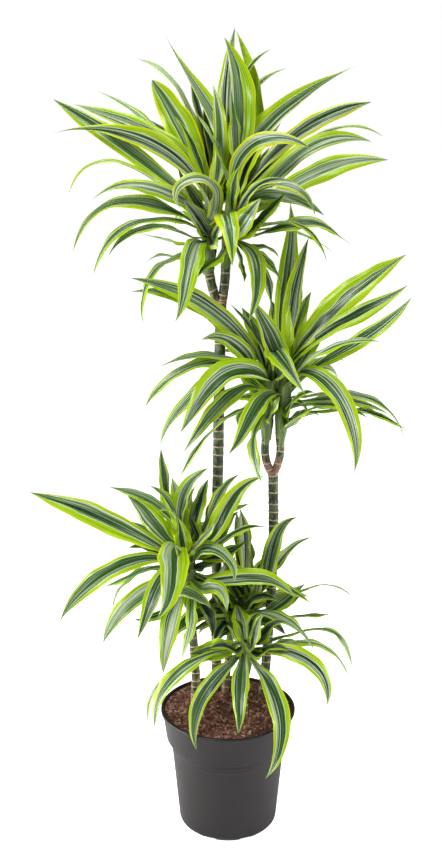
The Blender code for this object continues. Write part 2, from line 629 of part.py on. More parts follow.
def near_rings(blade, order, shift, slide, stations):
    """A blade that the viewer sees."""
    points, stem = near_line(blade, order, shift, slide)
    centres, tangents, _ = smooth_line(points, np.linspace(0.0, 1.0, stations))
    width = max(blade.seen_cm / 100, USUAL_WIDTH)
    faces_up = upper_face(centres, tangents, stem, blade.seen_cm / 100 / width)
    return blade_rings(centres, tangents, faces_up, width, (blade.widest, blade.draw), 1.7 * order)


def hidden_rings(shoot, order, shift, slide, stations):
    """A blade at the back of a shoot: each stands a golden turn on from the last and droops less."""
    share = (order + 0.5) / shoot.hidden
    root, stem = shoot_line(shoot, LOWEST_ROOT + ROOT_ZONE * (0.12 + 0.76 * share + slide))
    azimuth = math.radians(FAN_START + FAN_SPREAD * (order * GOLDEN_TURN % 1.0) + FAN_TURN * shift)
    rise = math.radians(LOWEST_RISE + RISE_SPREAD * share)
    length = shoot.reach * (1 - 0.2 * share)
    outward = np.array((math.cos(azimuth), math.sin(azimuth), 0.0))
    droop = DROOP * (1 - 0.45 * share)
    points = []
    for step in (0.0, 0.35, 0.7, 1.0):
        climb = UP * (math.sin(rise) * step - droop * step ** 2)
        points.append(root + length * (outward * math.cos(rise) * step + climb))
    centres, tangents, _ = smooth_line(points, np.linspace(0.0, 1.0, stations))
    faces_up = square_to(np.broadcast_to(stem, tangents.shape), tangents)
    return blade_rings(centres, tangents, faces_up, HIDDEN_WIDTH, (USUAL_WIDEST, TIP_DRAW), 2.3 * order)


def blade_faces(rings):
    """The points and triangles of a blade, split alike on both faces and closed at root and tip."""
    tip = rings[-1].mean(axis=0)
    count = len(rings) - 1
    points = np.concatenate((rings[:-1].reshape(-1, 3), tip[None]))
    faces = [(0, 2, 1), (0, 3, 2)]
    for ring in range(0, 4 * (count - 1), 4):
        edge_l, rib, edge_r, under = range(ring, ring + 4)
        faces += [(edge_l, rib + 4, edge_l + 4), (edge_l, rib, rib + 4)]
        faces += [(edge_r, rib + 4, rib), (edge_r, edge_r + 4, rib + 4)]
        faces += [(edge_l, edge_l + 4, under + 4), (edge_l, under + 4, under)]
        faces += [(edge_r, under, under + 4), (edge_r, under + 4, edge_r + 4)]
    last = 4 * (count - 1)
    end = 4 * count
    faces += [(last + side, last + (side + 1) % 4, end) for side in range(4)]
    return points, faces


def round_obstacles():
    """Points down the middle of every cane and shoot, with the radius there and the head it belongs to."""
    centres, radii, owners = [], [], []
    for cane in CANES.values():
        for line, radius in ((cane.line, cane.radius), *((arm, cane.arm_radius) for arm in cane.arms)):
            places = smooth_line(line, np.linspace(0.0, 1.0, 90))[0]
            centres.append(places)
            radii.append(np.full(90, radius + RING_HEIGHT))
            owners += [""] * 90
    for head, names in HEAD_SHOOTS.items():
        for name in names:
            shares = np.linspace(0.0, 1.0, 20)
            centres.append(smooth_line(SHOOTS[name].line, shares)[0])
            radii.append(shoot_radius(SHOOTS[name], shares))
            owners += [head] * 20
    return np.concatenate(centres), np.concatenate(radii), np.array(owners)


def trespass(rings, head, obstacles):
    """How many of a blade's sample points lie in a cane, another head's shoot, the pot or the soil."""
    stations = np.linspace(0.0, len(rings) - 1.0, 6 * len(rings))
    low = np.minimum(stations.astype(int), len(rings) - 2)
    share = (stations - low)[:, None, None]
    three = rings[low, :3] * (1 - share) + rings[low + 1, :3] * share
    halfway = (three[:, :2] + three[:, 1:]) / 2
    samples = np.concatenate((three.reshape(-1, 3), halfway.reshape(-1, 3)))
    centres, radii, owners = obstacles
    others = owners != head
    gaps = np.linalg.norm(samples[:, None] - centres[None, others], axis=2) - radii[None, others]
    round_hits = (gaps.min(axis=1) < CLEARANCE).sum()
    reach = np.linalg.norm(samples[:, :2], axis=1)
    low_down = samples[:, 2] < POT_HEIGHT + CLEARANCE
    return round_hits + (low_down & (reach < LIP_RADIUS + CLEARANCE)).sum()


def crossings(tree, head, placed):
    """How many triangle pairs cross: blades of another head count for many."""
    total = 0
    for other_head, other in placed:
        pairs = len(tree.overlap(other))
        total += pairs if other_head == head else OTHER_HEAD_COST * pairs
    return total


def outer_tree(rings):
    """A search tree of a blade's thin skin beyond its crowded root."""
    skin = rings[ROOT_STATIONS:, :3]
    count = len(skin)
    faces = []
    for station in range(count - 1):
        here = 3 * station
        faces += [(here, here + 3, here + 4), (here, here + 4, here + 1)]
        faces += [(here + 2, here + 1, here + 4), (here + 2, here + 4, here + 5)]
    return BVHTree.FromPolygons(skin.reshape(-1, 3).tolist(), faces)


def settle(make_rings, stations, head, placed, obstacles):
    """The shift and slide, of a few tried in turn, at which a blade crosses least of what is placed."""
    best = None
    for shift, slide in product(SHIFTS, SLIDES):
        rings = make_rings(shift, slide, stations)
        tree = outer_tree(rings)
        cost = crossings(tree, head, placed) + SHIFT_COST * abs(shift) + SLIDE_COST * abs(slide)
        if best is None or cost < best[0]:
            cost += OTHER_HEAD_COST * trespass(rings, head, obstacles)
        if best is None or cost < best[0]:
            best = (cost, shift, slide, tree)
        if cost < GOOD_ENOUGH:
            break
    placed.append((head, best[3]))
    return best[1:3]


def near_stations(blade):
    """Stations about a hand's breadth apart, fewer on a short blade."""
    points, _ = near_line(blade, 0, 0.0, 0.0)
    length = smooth_line(points, (0.0,))[2]
    return int(min(max(round(length / STATION_STEP) + 1, FEWEST_STATIONS), MOST_STATIONS))


def settled_blades():
    """For each head, its blades as (ring function, stations, place), each bent clear of the others."""
    obstacles = round_obstacles()
    placed = []
    heads = {head: [] for head in HEAD_SHOOTS}
    for head, names in HEAD_SHOOTS.items():
        for name in names:
            near = [blade for blade in ALL_BLADES if blade.shoot == name]
            for order, blade in enumerate(near):
                make = partial(near_rings, blade, order)
                stations = near_stations(blade)
                heads[head].append((make, stations, settle(make, stations, head, placed, obstacles)))
    for head, names in HEAD_SHOOTS.items():
        for name in names:
            for order in range(SHOOTS[name].hidden):
                make = partial(hidden_rings, SHOOTS[name], order)
                place = settle(make, HIDDEN_STATIONS, head, placed, obstacles)
                heads[head].append((make, HIDDEN_STATIONS, place))
    return heads


def shoot_radius(shoot, shares):
    """The shoot swells where the blades clasp it closest."""
    return np.interp(shares, (0.0, 0.55, 1.0), shoot.radii)


def shoot_core(name):
    """The green shoot, cut level where it stands on a cane and square where it leaves a cane's side."""
    shoot = SHOOTS[name]
    shares = np.linspace(0.0, 1.0, SHOOT_STATIONS)
    centres, tangents, _ = smooth_line(shoot.line, shares)
    if tangents[0][2] > STEEP:
        tangents[0] = UP
    return tube(name, centres, shoot_radius(shoot, shares), SHOOT_SIDES, tangents)


def make_head(name, blades):
    """A head's shoots and blades, grown together in one solid."""
    pieces = [shoot_core(shoot) for shoot in HEAD_SHOOTS[name]]
    for make_rings, stations, place in blades:
        pieces.append(mesh_object("blade", *blade_faces(make_rings(*place, stations))))
    head = union(name, pieces, "MANIFOLD")
    keep_outer_body(head)
    return head


def keep_outer_body(piece):
    """Keep the largest body, which fills the hollows that fusing sealed and drops loose scraps."""
    skin = bmesh.new()
    skin.from_mesh(piece.data)
    bmesh.ops.triangulate(skin, faces=skin.faces)
    left = set(skin.faces)
    bodies = []
    while left:
        body = [left.pop()]
        for face in body:
            seams = [edge.link_faces for edge in face.edges if len(edge.link_faces) == 2]
            near = {other for sides in seams for other in sides} & left
            left -= near
            body.extend(near)
        bodies.append(body)
    bodies.sort(key=len)
    for body in bodies[:-1]:
        bmesh.ops.delete(skin, geom=body, context="FACES")
    skin.to_mesh(piece.data)
    skin.free()


def main():
    """Model the plant in its pot."""
    clear_scene()
    plastic = material("charcoal polypropylene", (0.055, 0.050, 0.052), 0.38)
    peat = material("peat and coir", (0.075, 0.030, 0.018), 0.95)
    bark = material("green ringed bark", (0.110, 0.120, 0.060), 0.75)
    leaf = material("striped leaf", (0.270, 0.440, 0.060), 0.40)
    finish(make_pot(), plastic, 30)
    finish(make_soil(), peat, 30)
    for name in CANES:
        finish(make_cane(name), bark, 30)
    for name, blades in settled_blades().items():
        finish(make_head(name, blades), leaf, 40)


if __name__ == "__main__":
    main()
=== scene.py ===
"""Potted lemon lime dracaena: the looks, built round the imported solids.

Metres, +Z up. The origin is the middle of the pot's underside, and -Y is the side that faces the viewer.
Every blade is placed by the same rule as its solid, then drawn on a fine grid with its stripes.
"""
import math
from functools import partial
from itertools import product
from typing import NamedTuple

import bpy
import numpy as np
from mathutils.bvhtree import BVHTree
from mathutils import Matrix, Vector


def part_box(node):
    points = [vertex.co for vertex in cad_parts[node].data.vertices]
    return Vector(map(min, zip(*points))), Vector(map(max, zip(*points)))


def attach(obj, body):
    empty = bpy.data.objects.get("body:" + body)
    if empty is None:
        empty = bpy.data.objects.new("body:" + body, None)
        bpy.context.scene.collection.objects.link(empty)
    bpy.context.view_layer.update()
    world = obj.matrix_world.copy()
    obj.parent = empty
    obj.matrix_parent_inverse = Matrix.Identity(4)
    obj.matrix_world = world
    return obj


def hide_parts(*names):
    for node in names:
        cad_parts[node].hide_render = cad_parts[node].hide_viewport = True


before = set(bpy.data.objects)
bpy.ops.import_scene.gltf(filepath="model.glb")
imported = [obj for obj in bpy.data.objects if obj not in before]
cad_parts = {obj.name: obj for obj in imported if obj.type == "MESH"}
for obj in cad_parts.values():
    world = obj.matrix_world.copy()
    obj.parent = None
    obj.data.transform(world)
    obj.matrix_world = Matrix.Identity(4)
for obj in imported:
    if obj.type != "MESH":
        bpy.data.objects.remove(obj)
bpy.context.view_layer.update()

bl_info = {
    "name": "Potted lemon lime dracaena",
    "version": (1, 0, 0),
    "blender": (4, 5, 0),
    "location": "3D View > Sidebar > Dracaena",
    "description": "Dresses the solids of a potted dracaena with leaves, bark, peat and moulded plastic",
    "category": "Object",
}

UP = np.array((0.0, 0.0, 1.0))

# Clearance between pieces that touch in the real plant.
GAP = 0.0003

# Pot: a tapered body, a wider collar and a rolled lip.
POT_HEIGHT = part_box("pot")[1].z
POT_WALL = 0.0022
BASE_RADIUS = 0.0925
BODY_FOOT = 0.014
BODY_FOOT_RADIUS = 0.1013
BODY_TOP_RADIUS = 0.1172
BODY_TOP = 0.185
COLLAR_FOOT = 0.192
COLLAR_FOOT_RADIUS = 0.1268
COLLAR_TOP_RADIUS = 0.1345
LIP_RADIUS = 0.138
LIP_DEPTH = 0.007
FOOT_ROUND = 0.0016
SHOULDER_ROUND = 0.012
LIP_UNDER_ROUND = 0.0018
LIP_ROUND = 0.0024
INNER_ROUND = 0.001
POT_SIDES = 192
SLOT_COUNT = 8
SLOT_WIDTH = 0.024
SLOT_HEIGHT = 0.007
BAND_HEIGHTS = (0.1765, 0.1690)
BAND_DEPTH = 0.0005

# Soil: nearly flush with the lip and a little heaped in the middle.
SOIL_EDGE = 0.250
SOIL_HEAP = 0.004
SOIL_LUMP = 0.0022
SOIL_CLOD = 0.0010
SOIL_FLOOR = 0.012
SOIL_MIDDLE = 0.002
SOIL_RINGS = 70
SOIL_SIDES = 160

# Crumbs on the soil: one draw each says which are chunks and which are fibres.
CRUMB_COUNT = 2600
CHUNKS_BELOW = 0.30
FIBRES_ABOVE = 0.52

# Canes: where they stand straight, how fine the bark is drawn, its leaf scars, wax and cork.
STRAIGHT_FOOT = 0.262
CANE_SIDES = 24
BARK_SAMPLES = 400
BARK_STEP = 0.005
RING_HEIGHT = 0.0006
SCAR_SPACING = 0.019
SCAR_HALF = 0.0011
SCAR_CLEAR = 0.0046
SCAR_TILT = 0.0016
SCAR_JITTER = 0.66
WAX_DEPTH = 0.009
FORK_CORK = {"tall_cane": 0.55, "middle_cane": 1.0}

# Where the viewer stands, and the picture frame in which the blades' points were read.
EYE = np.array((0.0, -2.25, 1.46))
LOOK_DOWN = math.radians(15.05)
LOOK_LEFT = math.radians(0.366)
FOCAL_PIXELS = 1205.0
FRAME_MIDDLE = (221.0, 425.0)
FRAME_HEIGHT = 850.0
SENSOR = 36.0

# Softboxes: name, place, height looked at, size, the setting that is its power, and its share of that.
SOFTBOXES = (
    ("key", (-2.0, -2.2, 3.2), 1.2, 1.2, "key", 1.0),
    ("fill", (2.4, -2.0, 2.0), 1.1, 1.6, "fill", 1.0),
    ("top", (0.1, 0.3, 3.4), 0.9, 1.4, "top", 1.0),
    ("left", (-1.7, -0.1, 0.5), 0.15, 0.8, "sides", 1.0),
    ("right", (1.7, -0.1, 0.5), 0.15, 0.8, "sides", 0.6),
)

# How bright the camera sees the surround, and how many sides the round floor has.
SEEN_SURROUND = 1.02
FLOOR_SIDES = 64

# How finely a smooth line is measured, and the step over which its tangents are taken.
LINE_SAMPLES = 81
TANGENT_STEP = 0.01

# Blades as their solids have them.
USUAL_WIDTH = 0.034
USUAL_WIDEST = 0.54
BASE_SHARE = 0.36
TIP_DRAW = 1.15
ROOT_FOLD = math.radians(48)
BLADE_FOLD = math.radians(13)
FOLD_FADE = 0.18
ROLL_EASE = 0.4
SKY_PULL = 0.25
EDGE_WAVE = 0.0022
LEFT_WAVES = 11.0
RIGHT_WAVES = 13.0
RIGHT_PHASE = 2.1
NEAR_PHASE = 1.7
BACK_PHASE = 2.3
LEVELLING = 1.7
RIB_THICKNESS = 0.0014
STATION_STEP = 0.047
FEWEST_STATIONS = 5
MOST_STATIONS = 8

# The fan of blades at the back of a shoot, in degrees: 0 is to the right and 90 is straight back.
HIDDEN_STATIONS = 6
HIDDEN_WIDTH = 0.040
FAN_START = 15
FAN_SPREAD = 150
FAN_TURN = 9.0
LOWEST_RISE = 25
RISE_SPREAD = 50
DROOP = 0.55
TOP_STIFFER = 0.45
TOP_SHORTER = 0.2
FAN_STEPS = (0.0, 0.35, 0.7, 1.0)
GOLDEN_TURN = 0.618034

# How blades are bent clear of each other.
SHIFTS = (0.0, 1.0, -1.0, 2.0, -2.0, 3.0, -3.0, 4.5, -4.5)
SLIDES = (0.0, 0.10, -0.10)
SHIFT_COST = 0.3
SLIDE_COST = 2.0
OTHER_HEAD_COST = 30
GOOD_ENOUGH = 0.5
CLEARANCE = 0.002
ROOT_STATIONS = 1
CANE_SAMPLES = 90
SHOOT_SAMPLES = 20
SAMPLES_PER_STATION = 6
EXTRA_ORDER = 40

# Where blades are rooted, in shares of the shoot's length.
LOWEST_ROOT = 0.10
ROOT_ZONE = 0.83
ROOT_STAGGER = 0.004
BACK_ROOT = 0.12
BACK_ROOT_ZONE = 0.76

# The fine grid of a blade: rows from root to tip, and places across, closer at the edges.
NEAR_ROWS = 36
BACK_ROWS = 26
ACROSS = np.array((-1.0, -0.93, -0.8, -0.6, -0.4, -0.2, 0.0, 0.2, 0.4, 0.6, 0.8, 0.93, 1.0))
LEAST_BASE = 0.0090
TWIST = math.radians(12)
RIB_ROUND = 0.11
LEAF_THICKNESS = 0.0008
KEEL = 0.0006
KEEL_WIDTH = 0.12
TIP_THINNING = 0.6

# How a blade's base clasps the shoot, and how soon the blade comes free of it.
SHEATH_ROWS = 6
SHEATH_LENGTH = 0.040
SHEATH_FLARE = 0.0030
SHEATH_SKIN = 0.0003
SHEATH_WRAP = math.radians(36)
SHEATH_OPEN = math.radians(42)
SHEATH_BELOW = 0.034
CLASP_REACH = 3.4
CLASP_CLIMB = 0.8
CLASP_NARROWING = 0.4
SHOOT_ROWS = 24
SHOOT_SIDES = 16

# Seeds of the random draws; canes and leaves count on from theirs.
CRUMB_SEED = 5
CANE_SEED = 21
LEAF_SEED = 11


class Cane(NamedTuple):
    """A bare cane: its radius, how deep it stands, its middle line, and the arms of its fork."""
    radius: float
    foot: float
    line: tuple
    arms: tuple = ()
    arm_radius: float = 0.0


class Shoot(NamedTuple):
    """A leafy shoot: its radius at foot, middle and tip, its middle line, and how many blades of what
    length stand at its back."""
    radii: tuple
    line: tuple
    hidden: int
    reach: float


class Blade(NamedTuple):
    """A blade read in the picture: its shoot, where on it, the width seen, how far out, and its points;
    then where it is widest, and its stripes: the shares of the left and right halves that are lime as one
    looks from the root, how grey the middle is (under 0 the blade is painted darker, as shade), and how
    yellow the edges are; and last how far its tip is drawn out."""
    shoot: str
    at: float
    seen_cm: float
    out_cm: float
    pixels: tuple
    widest: float = USUAL_WIDEST
    stripes: tuple = ()
    draw: float = TIP_DRAW


CANES = {
    "tall_cane": Cane(
        0.0107, 0.11,
        ((-0.0245, 0.085, 0.262), (-0.0245, 0.083, 0.455), (-0.021, 0.078, 0.750), (-0.015, 0.070, 1.087)),
        (((-0.017, 0.070, 1.076), (-0.034, 0.068, 1.121), (-0.038, 0.066, 1.156)),
         ((-0.014, 0.070, 1.076), (-0.008, 0.066, 1.121), (-0.005, 0.063, 1.172))),
        0.0092),
    "middle_cane": Cane(
        0.0100, 0.11,
        ((0.0740, 0.054, 0.262), (0.0845, 0.059, 0.400), (0.0915, 0.055, 0.641), (0.089, 0.050, 0.749)),
        (((0.088, 0.050, 0.740), (0.0745, 0.049, 0.772), (0.0745, 0.048, 0.815)),
         ((0.090, 0.050, 0.740), (0.1010, 0.049, 0.772), (0.1015, 0.048, 0.815))),
        0.0080),
    "low_cane": Cane(
        0.0090, 0.11,
        ((-0.0686, 0.018, 0.262), (-0.068, 0.018, 0.349), (-0.0765, 0.015, 0.455), (-0.079, 0.012, 0.490))),
    "cut_cane": Cane(
        0.0075, 0.12,
        ((-0.0060, 0.060, 0.262), (0.002, 0.060, 0.352), (0.0096, 0.060, 0.474))),
    "front_cane": Cane(
        0.0046, 0.15,
        ((0.035, -0.048, 0.262), (0.0355, -0.049, 0.310), (0.036, -0.050, 0.350))),
}

SHOOTS = {
    "tall_left": Shoot(
        (0.0095, 0.0135, 0.007),
        ((-0.038, 0.066, 1.1563), (-0.036, 0.064, 1.22), (-0.031, 0.062, 1.290)), 9, 0.31),
    "tall_right": Shoot(
        (0.0095, 0.0135, 0.007),
        ((-0.005, 0.063, 1.1723), (0.003, 0.060, 1.23), (0.009, 0.058, 1.300)), 9, 0.31),
    "middle_left": Shoot(
        (0.0085, 0.0125, 0.007),
        ((0.0745, 0.048, 0.8153), (0.0765, 0.046, 0.880), (0.084, 0.043, 0.965)), 8, 0.30),
    "middle_right": Shoot(
        (0.0085, 0.0125, 0.007),
        ((0.1015, 0.048, 0.8153), (0.1065, 0.045, 0.880), (0.110, 0.042, 0.965)), 8, 0.30),
    "low": Shoot(
        (0.0095, 0.0135, 0.007),
        ((-0.079, 0.012, 0.4903), (-0.081, 0.010, 0.550), (-0.085, 0.010, 0.610)), 9, 0.29),
    "side": Shoot(
        (0.0045, 0.0080, 0.005),
        ((0.0128, 0.0548, 0.405), (0.0240, 0.0470, 0.410), (0.0300, 0.0430, 0.435), (0.031, 0.040, 0.490)),
        4, 0.24),
    "front": Shoot(
        (0.0050, 0.0085, 0.005),
        ((0.036, -0.050, 0.3503), (0.037, -0.050, 0.385), (0.033, -0.050, 0.425)), 2, 0.17),
}

HEAD_SHOOTS = {
    "tall_head": ("tall_left", "tall_right"),
    "middle_head": ("middle_left", "middle_right"),
    "low_head": ("low",),
    "side_head": ("side",),
    "front_head": ("front",),
}

# Each blade runs from its shoot through these picture points to its tip, the last one.
# After them come where it is widest and how it is striped, and on some how far the tip is drawn out.
TALL_BLADES = (
    Blade("tall_left", 0.60, 3.7, 2, ((155, 170), (116, 141), (53, 99)), 0.68, (0.40, 0.25, 0.90, 0.3)),
    Blade("tall_left", 0.80, 3.0, -5, ((187, 156), (129, 122), (74, 104)), 0.64, (0.20, 0.55, 0.75, 0.3)),
    Blade("tall_left", 0.70, 4.2, 6, ((173, 155), (107, 129), (51, 134)),
          0.40, (0.22, 0.52, 0.10, 0.5), draw=2.3),
    Blade("tall_left", 0.90, 1.9, -15, ((152, 128), (119, 102), (97, 91)), 0.60, (0.10, 0.50, 0.90, 0.2)),
    Blade("tall_left", 0.95, 2.2, -14, ((180, 93), (155, 66), (137, 59)), 0.64, (0.15, 0.45, 0.85, 0.2)),
    Blade("tall_left", 0.75, 5.8, -5, ((193, 154), (167, 103), (152, 80)),
          0.62, (0.45, 0.50, 0.85, 0.6), draw=0.65),
    Blade("tall_left", 0.90, 3.4, -7, ((212, 109), (187, 71), (164, 32)),
          0.42, (0.10, 0.70, 0.80, 0.2), draw=2.4),
    Blade("tall_left", 0.95, 3.2, -2, ((221, 130), (213, 85)), 0.52, (0.30, 0.45, 0.70, 0.3)),
    Blade("tall_right", 0.90, 5.0, -5, ((243, 128), (243, 96), (224, 37)), 0.56, (0.10, 0.80, 0.75, 0.2)),
    Blade("tall_right", 0.95, 3.3, -10, ((226, 103), (228, 71), (235, 27)), 0.60, (0.35, 0.15, 0.10, 0.5)),
    Blade("tall_right", 0.85, 3.0, -12, ((258, 115), (252, 75), (236, 30)), 0.52, (0.90, 0.95, 0.05, 0.2)),
    Blade("tall_right", 0.75, 2.2, -15, ((250, 95), (271, 75), (287, 68)), 0.60, (0.55, 0.15, 0.90, 0.2)),
    Blade("tall_right", 0.70, 3.8, -7, ((261, 128), (303, 93), (358, 65)),
          0.44, (0.60, 0.10, 0.75, 0.2), draw=1.9),
    Blade("tall_right", 0.60, 3.3, -3, ((281, 147), (335, 113), (372, 102)), 0.72, (0.30, 0.25, 0.15, 0.8)),
    Blade("tall_right", 0.55, 1.7, -8, ((309, 140), (354, 127), (384, 137)), 0.56, (0.60, 0.15, 0.70, 0.2)),
    Blade("tall_right", 0.50, 3.6, 2, ((271, 179), (320, 142), (372, 142)), 0.56, (0.50, 0.15, 0.95, 0.2)),
    Blade("tall_right", 0.35, 4.1, 8, ((299, 182), (340, 165), (389, 160)), 0.66, (0.38, 0.50, 0.95, 0.2)),
    Blade("tall_right", 0.65, 3.1, 10, ((236, 168), (253, 145), (280, 138), (311, 150)),
          0.62, (0.35, 0.35, 0.65, 1.0)),
    Blade("tall_right", 0.30, 3.0, 6, ((265, 195), (300, 201), (325, 216)), 0.56, (0.20, 0.20, 0.80, 0.2)),
    Blade("tall_right", 0.40, 1.9, 11, ((250, 197), (289, 186), (316, 219)), 0.56, (0.35, 0.25, 0.40, 0.6)),
    Blade("tall_right", 0.45, 2.6, 15, ((250, 195), (275, 180), (296, 183)), 0.56, (0.30, 0.15, 0.30, 0.3)),
    Blade("tall_right", 0.10, 4.0, 13, ((240, 226), (261, 198)), 0.56, (0.40, 0.20, 0.60, 0.2)),
    Blade("tall_right", 0.05, 2.4, 8, ((258, 224), (286, 192)), 0.56, (0.20, 0.55, 0.20, 0.1)),
    Blade("tall_right", 0.20, 2.4, 8, ((265, 233), (303, 223), (342, 239)), 0.60, (0.35, 0.30, 0.50, 0.1)),
    Blade("tall_right", 0.15, 1.4, 11, ((256, 228), (295, 225), (327, 262)), 0.56, (0.50, 0.40, 0.30, 0.1)),
    Blade("tall_right", 0.20, 4.4, 19, ((226, 217), (231, 240), (232, 267)), 0.42, (0.50, 0.50, 0.60, 0.6)),
    Blade("tall_left", 0.45, 2.9, 15, ((216, 196), (200, 179), (179, 186), (181, 209)),
          0.50, (0.15, 0.40, 0.70, 1.0)),
    Blade("tall_left", 0.58, 1.7, 10, ((136, 170), (102, 161), (68, 197)), 0.50, (0.20, 0.70, 0.90, 0.6)),
    Blade("tall_left", 0.50, 3.3, 10, ((149, 187), (115, 187), (89, 203)),
          0.44, (0.35, 0.40, 0.70, 0.2), draw=1.7),
    Blade("tall_left", 0.40, 2.7, 13, ((168, 210), (114, 204), (73, 252)), 0.46, (0.35, 0.30, 0.80, 0.3)),
    Blade("tall_left", 0.30, 1.8, 15, ((159, 220), (121, 232), (93, 279)), 0.50, (0.45, 0.35, 0.40, 0.1)),
    Blade("tall_left", 0.20, 1.9, 13, ((181, 233), (145, 228), (108, 257)), 0.50, (0.25, 0.35, 0.80, 0.1)),
    Blade("tall_left", 0.12, 1.2, 10, ((193, 247), (165, 240), (139, 233)), 0.50, (0.35, 0.35, 0.70, 0.1)),
    Blade("tall_left", 0.20, 4.5, 17, ((200, 243), (188, 280), (175, 322)), 0.42, (0.50, 0.32, 0.35, 0.1)),
    Blade("tall_left", 0.08, 1.5, 11, ((177, 257), (154, 275), (144, 326)), 0.50, (0.35, 0.40, 0.60, 0.1)),
    Blade("tall_right", 0.03, 2.2, 10, ((214, 262), (205, 268), (193, 283)), 0.50, (0.60, 0.15, 0.50, 0.1)),
    Blade("tall_right", 0.05, 3.2, 13, ((252, 252), (258, 280), (248, 323)), 0.44, (0.50, 0.35, 0.70, 0.1)),
    Blade("tall_right", 0.10, 1.4, 8, ((262, 258), (275, 271), (281, 290)), 0.50, (0.35, 0.35, 0.40, 0.1)),
)

MIDDLE_BLADES = (
    Blade("middle_left", 0.72, 3.9, 8, ((240, 335), (190, 297), (130, 278)), 0.58, (0.35, 0.30, 0.45, 0.1)),
    Blade("middle_left", 0.65, 3.0, 2, ((240, 345), (194, 304), (130, 292)), 0.60, (0.50, 0.15, 0.60, 0.1)),
    Blade("middle_left", 0.85, 3.4, 8, ((245, 354), (220, 337), (201, 340)), 0.58, (0.45, 0.35, 0.30, 0.1)),
    Blade("middle_left", 0.55, 1.9, 4, ((240, 362), (192, 357), (159, 367)), 0.60, (0.20, 0.40, 0.50, 0.1)),
    Blade("middle_left", 0.55, 3.0, 8, ((226, 362), (186, 369), (145, 408)), 0.56, (0.30, 0.45, 0.60, 0.1)),
    Blade("middle_left", 0.60, 4.7, 17, ((262, 374), (236, 368), (207, 388), (180, 433)),
          0.54, (0.20, 0.50, 0.30, 0.1)),
    Blade("middle_left", 0.45, 2.6, 4, ((230, 375), (191, 396), (160, 447)), 0.56, (0.15, 0.40, 0.60, 0.1)),
    Blade("middle_left", 0.45, 3.2, 15, ((245, 388), (213, 413), (183, 453)), 0.52, (0.35, 0.35, 0.45, 0.1)),
    Blade("middle_left", 0.30, 1.5, 10, ((245, 410), (210, 434), (179, 479)), 0.50, (0.30, 0.30, 0.20, 0.1)),
    Blade("middle_right", 0.50, 3.8, 17, ((265, 396), (245, 428), (228, 455)), 0.50, (0.30, 0.40, 0.40, 0.1)),
    Blade("middle_left", 0.20, 2.4, 11, ((262, 421), (254, 448), (262, 483)), 0.50, (0.30, 0.45, 0.70, 0.1)),
    Blade("middle_right", 1.00, 3.9, -5, ((284, 300), (291, 245), (290, 202)), 0.52, (0.45, 0.30, 0.50, 0.1)),
    Blade("middle_right", 0.95, 3.4, -3, ((288, 330), (294, 290), (309, 237)), 0.50, (0.55, 0.15, 0.20, 0.1)),
    Blade("middle_right", 0.85, 5.3, 2, ((306, 338), (346, 297), (407, 254)), 0.56, (0.62, 0.40, 0.35, 0.1)),
    Blade("middle_right", 0.75, 3.2, 6, ((298, 356), (346, 321), (409, 284)), 0.64, (0.35, 0.50, 0.15, 0.1)),
    Blade("middle_right", 0.65, 3.2, 10, ((306, 373), (362, 340), (412, 297)), 0.62, (0.25, 0.45, 0.35, 0.1)),
    Blade("middle_right", 0.60, 2.3, 13, ((295, 377), (338, 345), (381, 342)), 0.56, (0.20, 0.30, 0.50, 0.1)),
    Blade("middle_right", 0.65, 4.0, 21, ((314, 373), (346, 408), (354, 473)), 0.52, (0.45, 0.35, 0.50, 0.1)),
    Blade("middle_right", 0.45, 1.5, 6, ((320, 395), (362, 397), (406, 443)), 0.50, (0.30, 0.20, 0.80, 0.1)),
    Blade("middle_right", 0.40, 2.0, -3, ((320, 400), (352, 401), (389, 415)), 0.56, (0.40, 0.30, 0.60, 0.1)),
    Blade("middle_right", 0.35, 2.0, 6, ((315, 405), (342, 407), (368, 418)), 0.56, (0.40, 0.40, 0.60, 0.1)),
    Blade("middle_right", 0.20, 1.0, 10, ((285, 428), (306, 413), (330, 409)), 0.50, (0.30, 0.30, 0.40, 0.1)),
    Blade("middle_right", 0.80, 4.2, 19, ((276, 354), (288, 370), (305, 394)), 0.44, (0.25, 0.50, 0.40, 0.1)),
    Blade("middle_left", 0.60, 4.2, 10, ((277, 350), (266, 326), (252, 297)), 0.54, (0.20, 0.35, 0.35, 0.1)),
)

